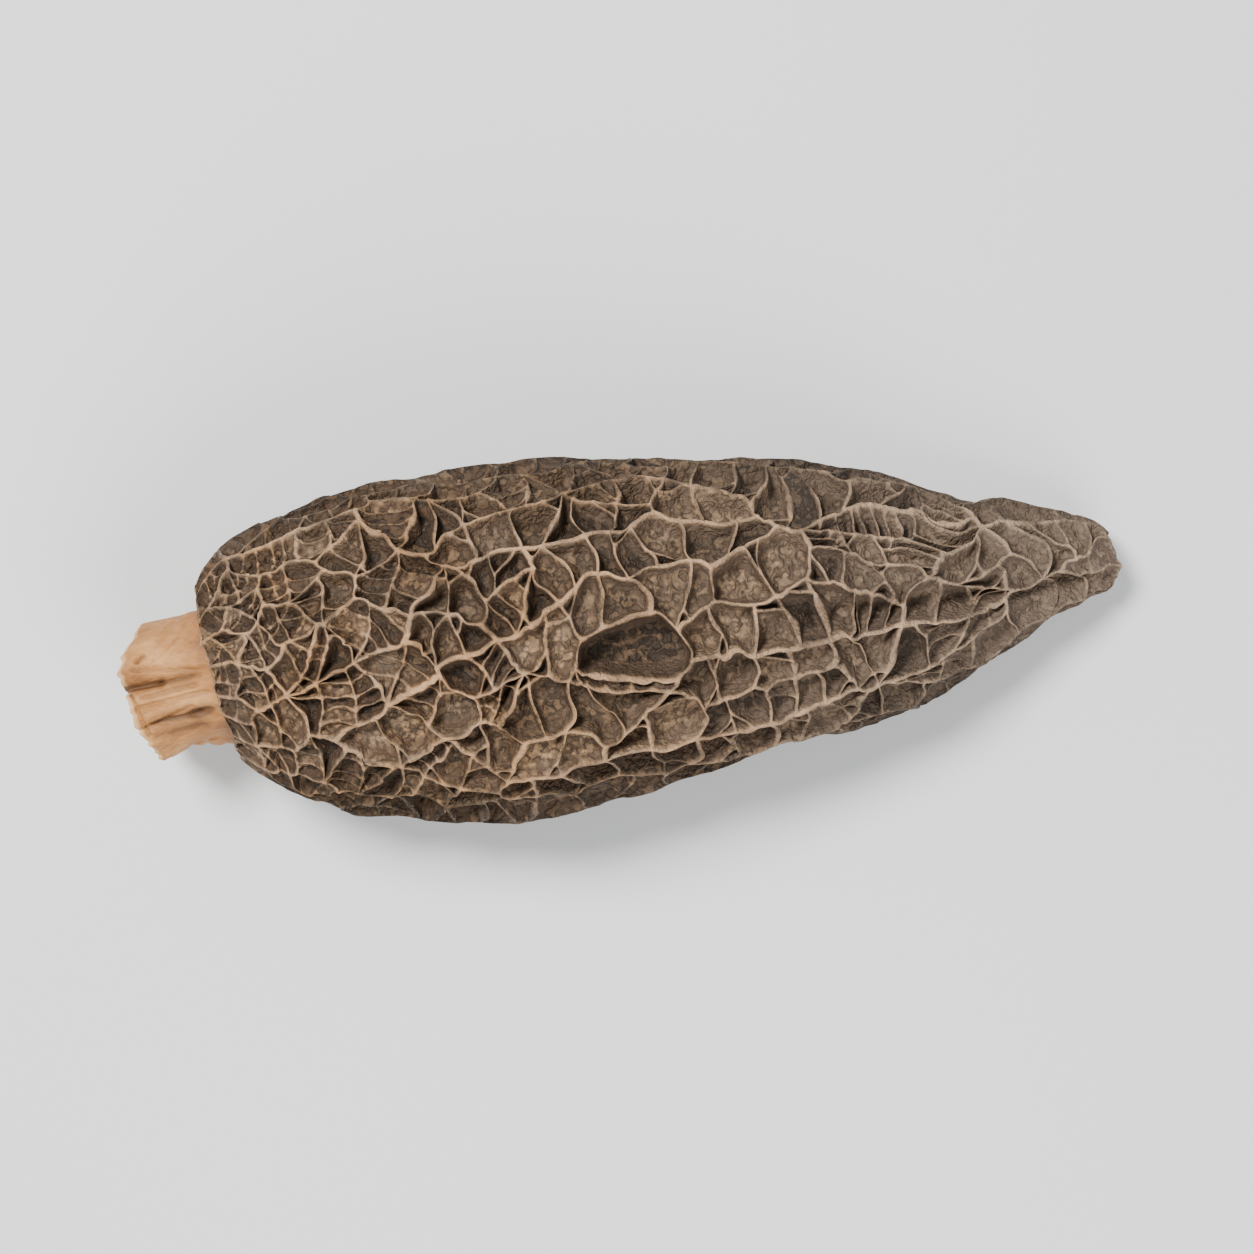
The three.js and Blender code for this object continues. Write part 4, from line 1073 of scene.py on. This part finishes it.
# Below the lower edge the flesh turns in to the mouth and lines the hollow.
LAP_GAP = 0.35  # how far the cap's flesh stays off the stem's skin
LINING_DEPTH = 2.75
HOLLOW_END = 56.5
edges = [(a, b) if a < b else (b, a) for face in faces for a, b in around(face)]
pairs, counts = np.unique(np.array(edges), axis=0, return_counts=True)
rim = np.unique(pairs[counts == 1])
rim = rim[np.argsort(angle[rim])]
lining_rings = [stem_point(s, angle[rim], LAP_GAP, 0) + CENTRING for s in (-0.02, 0.5, 1.3, 2.4)]
for s in (3.6, *np.arange(5, HOLLOW_END - 0.5, 1.5)):
    level = np.full(len(rim), s)
    uneven = 0.12 * cloud(cap_point(level, angle[rim], LINING_DEPTH), 2.2, 11)
    lining_rings.append(cap_point(level, angle[rim], LINING_DEPTH + uneven))
middle = along(HALF_WIDTH, HOLLOW_END) * along(FLATNESS, HOLLOW_END)
middle = middle + along(UNDERSIDE_LIFT, HOLLOW_END) - PRESSED_FLAT
end = np.array([[HOLLOW_END, along(CENTRE_Y, HOLLOW_END), middle]]) + CENTRING
all_points = np.concatenate([cap_spots, *lining_rings, end]) * MM
lining, outer = [], rim.tolist()
for n in range(len(lining_rings)):
    inner = list(range(len(cap_spots) + n * len(rim), len(cap_spots) + (n + 1) * len(rim)))
    lining += between(outer, inner)
    outer = inner
lining += [(a, len(all_points) - 1, b) for a, b in around(outer)]


def with_lining(values, inside):
    """Values for the cap's spots, and one value for all the points of the lining."""
    return np.concatenate([values, np.full(len(all_points) - len(cap_spots), inside)])


pale, deep = with_lining(spots[:, 3], 0.3), with_lining(spots[:, 4], 0.4)
reach, tone = with_lining(spots[:, 0], 20.0), with_lining(spots[:, 5], 0.5)
normals = corner_normals(all_points, faces + lining)

# The cap is one body of flesh. Its mesh is held in a few pieces of whole pits, from the base to the tip.
MOST_TRIANGLES = 180000
triangles = np.cumsum([len(f) - 2 for f in faces])
parts = math.ceil(triangles[-1] / MOST_TRIANGLES)
starts = {}
for number, before in zip(face_cell, triangles):
    starts.setdefault(number, before)
part_of = [int(parts * starts[number] / (triangles[-1] + 1)) for number in face_cell]

crest, tree, shader, grown = new_material("Dried cap", 0.7, 0.25)
grown.inputs["Patch scale"].default_value = 260
grown.inputs["Grain scale"].default_value = 5200
grown.inputs["Bead scale"].default_value = 2300
to_tip = ramp(tree, scalar(tree, "DIVIDE", read(tree, "reach"), 66.0), (0.1, 0.0), (0.9, 1.0))
patch = ramp(tree, grown.outputs["Patches"], (0.35, 0.0), (0.65, 1.0))
greyness = scalar(tree, "MAXIMUM", to_tip, scalar(tree, "MULTIPLY", patch, 0.6))
rib = blend_colours(tree, greyness, (0.46, 0.255, 0.122), (0.36, 0.25, 0.165))
bright = blend_colours(tree, greyness, (0.41, 0.24, 0.112), (0.33, 0.232, 0.157))
dark = blend_colours(tree, greyness, (0.05, 0.029, 0.015), (0.12, 0.084, 0.057))
coarse = scalar(tree, "MULTIPLY", read(tree, "tone"), scalar(tree, "MULTIPLY_ADD", to_tip, -1.3, 1.6))
speck = scalar(tree, "MULTIPLY", ramp(tree, grown.outputs["Beads"], (0.0, 0.0), (0.55, 0.75)), coarse)
mottle = ramp(tree, grown.outputs["Mottle"], (0.34, 0.1), (0.68, 0.5))
line = scalar(tree, "MULTIPLY", grown.outputs["Wrinkles"], 0.4)
specks = scalar(tree, "SUBTRACT", scalar(tree, "ADD", mottle, speck), line)
# The floors are darkened by tone: each pit's random tone, and painted shade in the wide pit, in the holes and
# on the side turned down.
shade = ramp(tree, read(tree, "tone"), (0.0, 0.35), (0.15, 0.62), (1.0, 1.0))
floor_brown = blend_colours(tree, 1.0, blend_colours(tree, specks, dark, bright), shade, "MULTIPLY")
# Painted shade: the walls are darkened near their foot, where they meet the pit floor.
foot_shade_colour = blend_colours(tree, to_tip, (0.085, 0.048, 0.026), (0.15, 0.105, 0.075))
foot_shade_share = ramp(tree, read(tree, "deep"), (0.1, 0.0), (0.5, 0.6), (0.85, 0.6), (1.0, 0.0))
foot_shaded = blend_colours(tree, foot_shade_share, floor_brown, foot_shade_colour)
walls = blend_colours(tree, ramp(tree, read(tree, "pale"), (0.1, 0.0), (0.85, 1.0)), foot_shaded, rib)
# Painted highlight: the palest tops of the crests are blended to a brighter tan.
crest_highlight_share = ramp(tree, read(tree, "pale"), (0.78, 0.0), (1.0, 0.8))
crest_highlighted = blend_colours(tree, crest_highlight_share, walls, (0.54, 0.33, 0.185))
dust = ramp(tree, grown.outputs["Grain"], (0.3, 0.5), (0.7, 1.0))
finish_flesh(tree, shader, grown, blend_colours(tree, 0.4, crest_highlighted, dust, "MULTIPLY"), 0.5, 0.24)
for n in range(parts):
    part = [face for face, of in zip(faces, part_of) if of == n] + ([] if n else lining)
    cap = build_mesh(f"Cap_{n + 1}", all_points, part, normals, pale=pale, deep=deep, reach=reach, tone=tone)
    cap.data.materials.append(crest)
    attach(cap, "root")
    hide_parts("cap")


# ---- The floor and the light -----------------------------------------------------------------------
# The mushroom lies on a plain pale table top in soft studio light. These aren't part of it.

bpy.ops.mesh.primitive_plane_add(size=1.6, location=(0, 0, 0))
table = bpy.context.object
table.name = "Table"
paper = bpy.data.materials.new("Pale table")
paper.use_nodes = True
tree = paper.node_tree
shader = tree.nodes["Principled BSDF"]
shader.inputs["Roughness"].default_value = 0.8
noise = tree.nodes.new("ShaderNodeTexNoise")
noise.inputs["Scale"].default_value = 6
place = tree.nodes.new("ShaderNodeTexCoord")
pale_grey = ramp(tree, noise.outputs["Fac"], (0.3, (0.70, 0.70, 0.69)), (0.7, (0.74, 0.74, 0.73)))
link(tree, (place.outputs["Object"], noise.inputs["Vector"]), (pale_grey, shader.inputs["Base Color"]))
table.data.materials.append(paper)

for name, place, size, power in (
    ("Key", (-0.13, 0.15, 0.36), 0.14, 3.0),
    ("Fill", (0.1, -0.28, 0.26), 0.3, 1.5),
):
    lamp = bpy.data.lights.new(name, "AREA")
    lamp.shape, lamp.size, lamp.energy = "DISK", size, power
    lamp_object = bpy.data.objects.new(name, lamp)
    lamp_object.location = place
    lamp_object.rotation_euler = (-Vector(place)).to_track_quat("-Z", "Y").to_euler()
    bpy.context.collection.objects.link(lamp_object)
world = bpy.context.scene.world or bpy.data.worlds.new("Studio")
bpy.context.scene.world = world
world.use_nodes = True
world.node_tree.nodes["Background"].inputs["Color"].default_value = (0.9, 0.95, 1.0, 1)
world.node_tree.nodes["Background"].inputs["Strength"].default_value = 0.45

camera = bpy.data.objects.new("Camera", bpy.data.cameras.new("Camera"))
camera.data.lens = 90
camera.data.clip_start = 0.01
bpy.context.collection.objects.link(camera)
roll = math.radians(-7.35)
camera.matrix_world = Matrix.Translation((0.0, 0.0, 0.225)) @ Matrix.Rotation(roll, 4, "Z")
bpy.context.scene.camera = camera
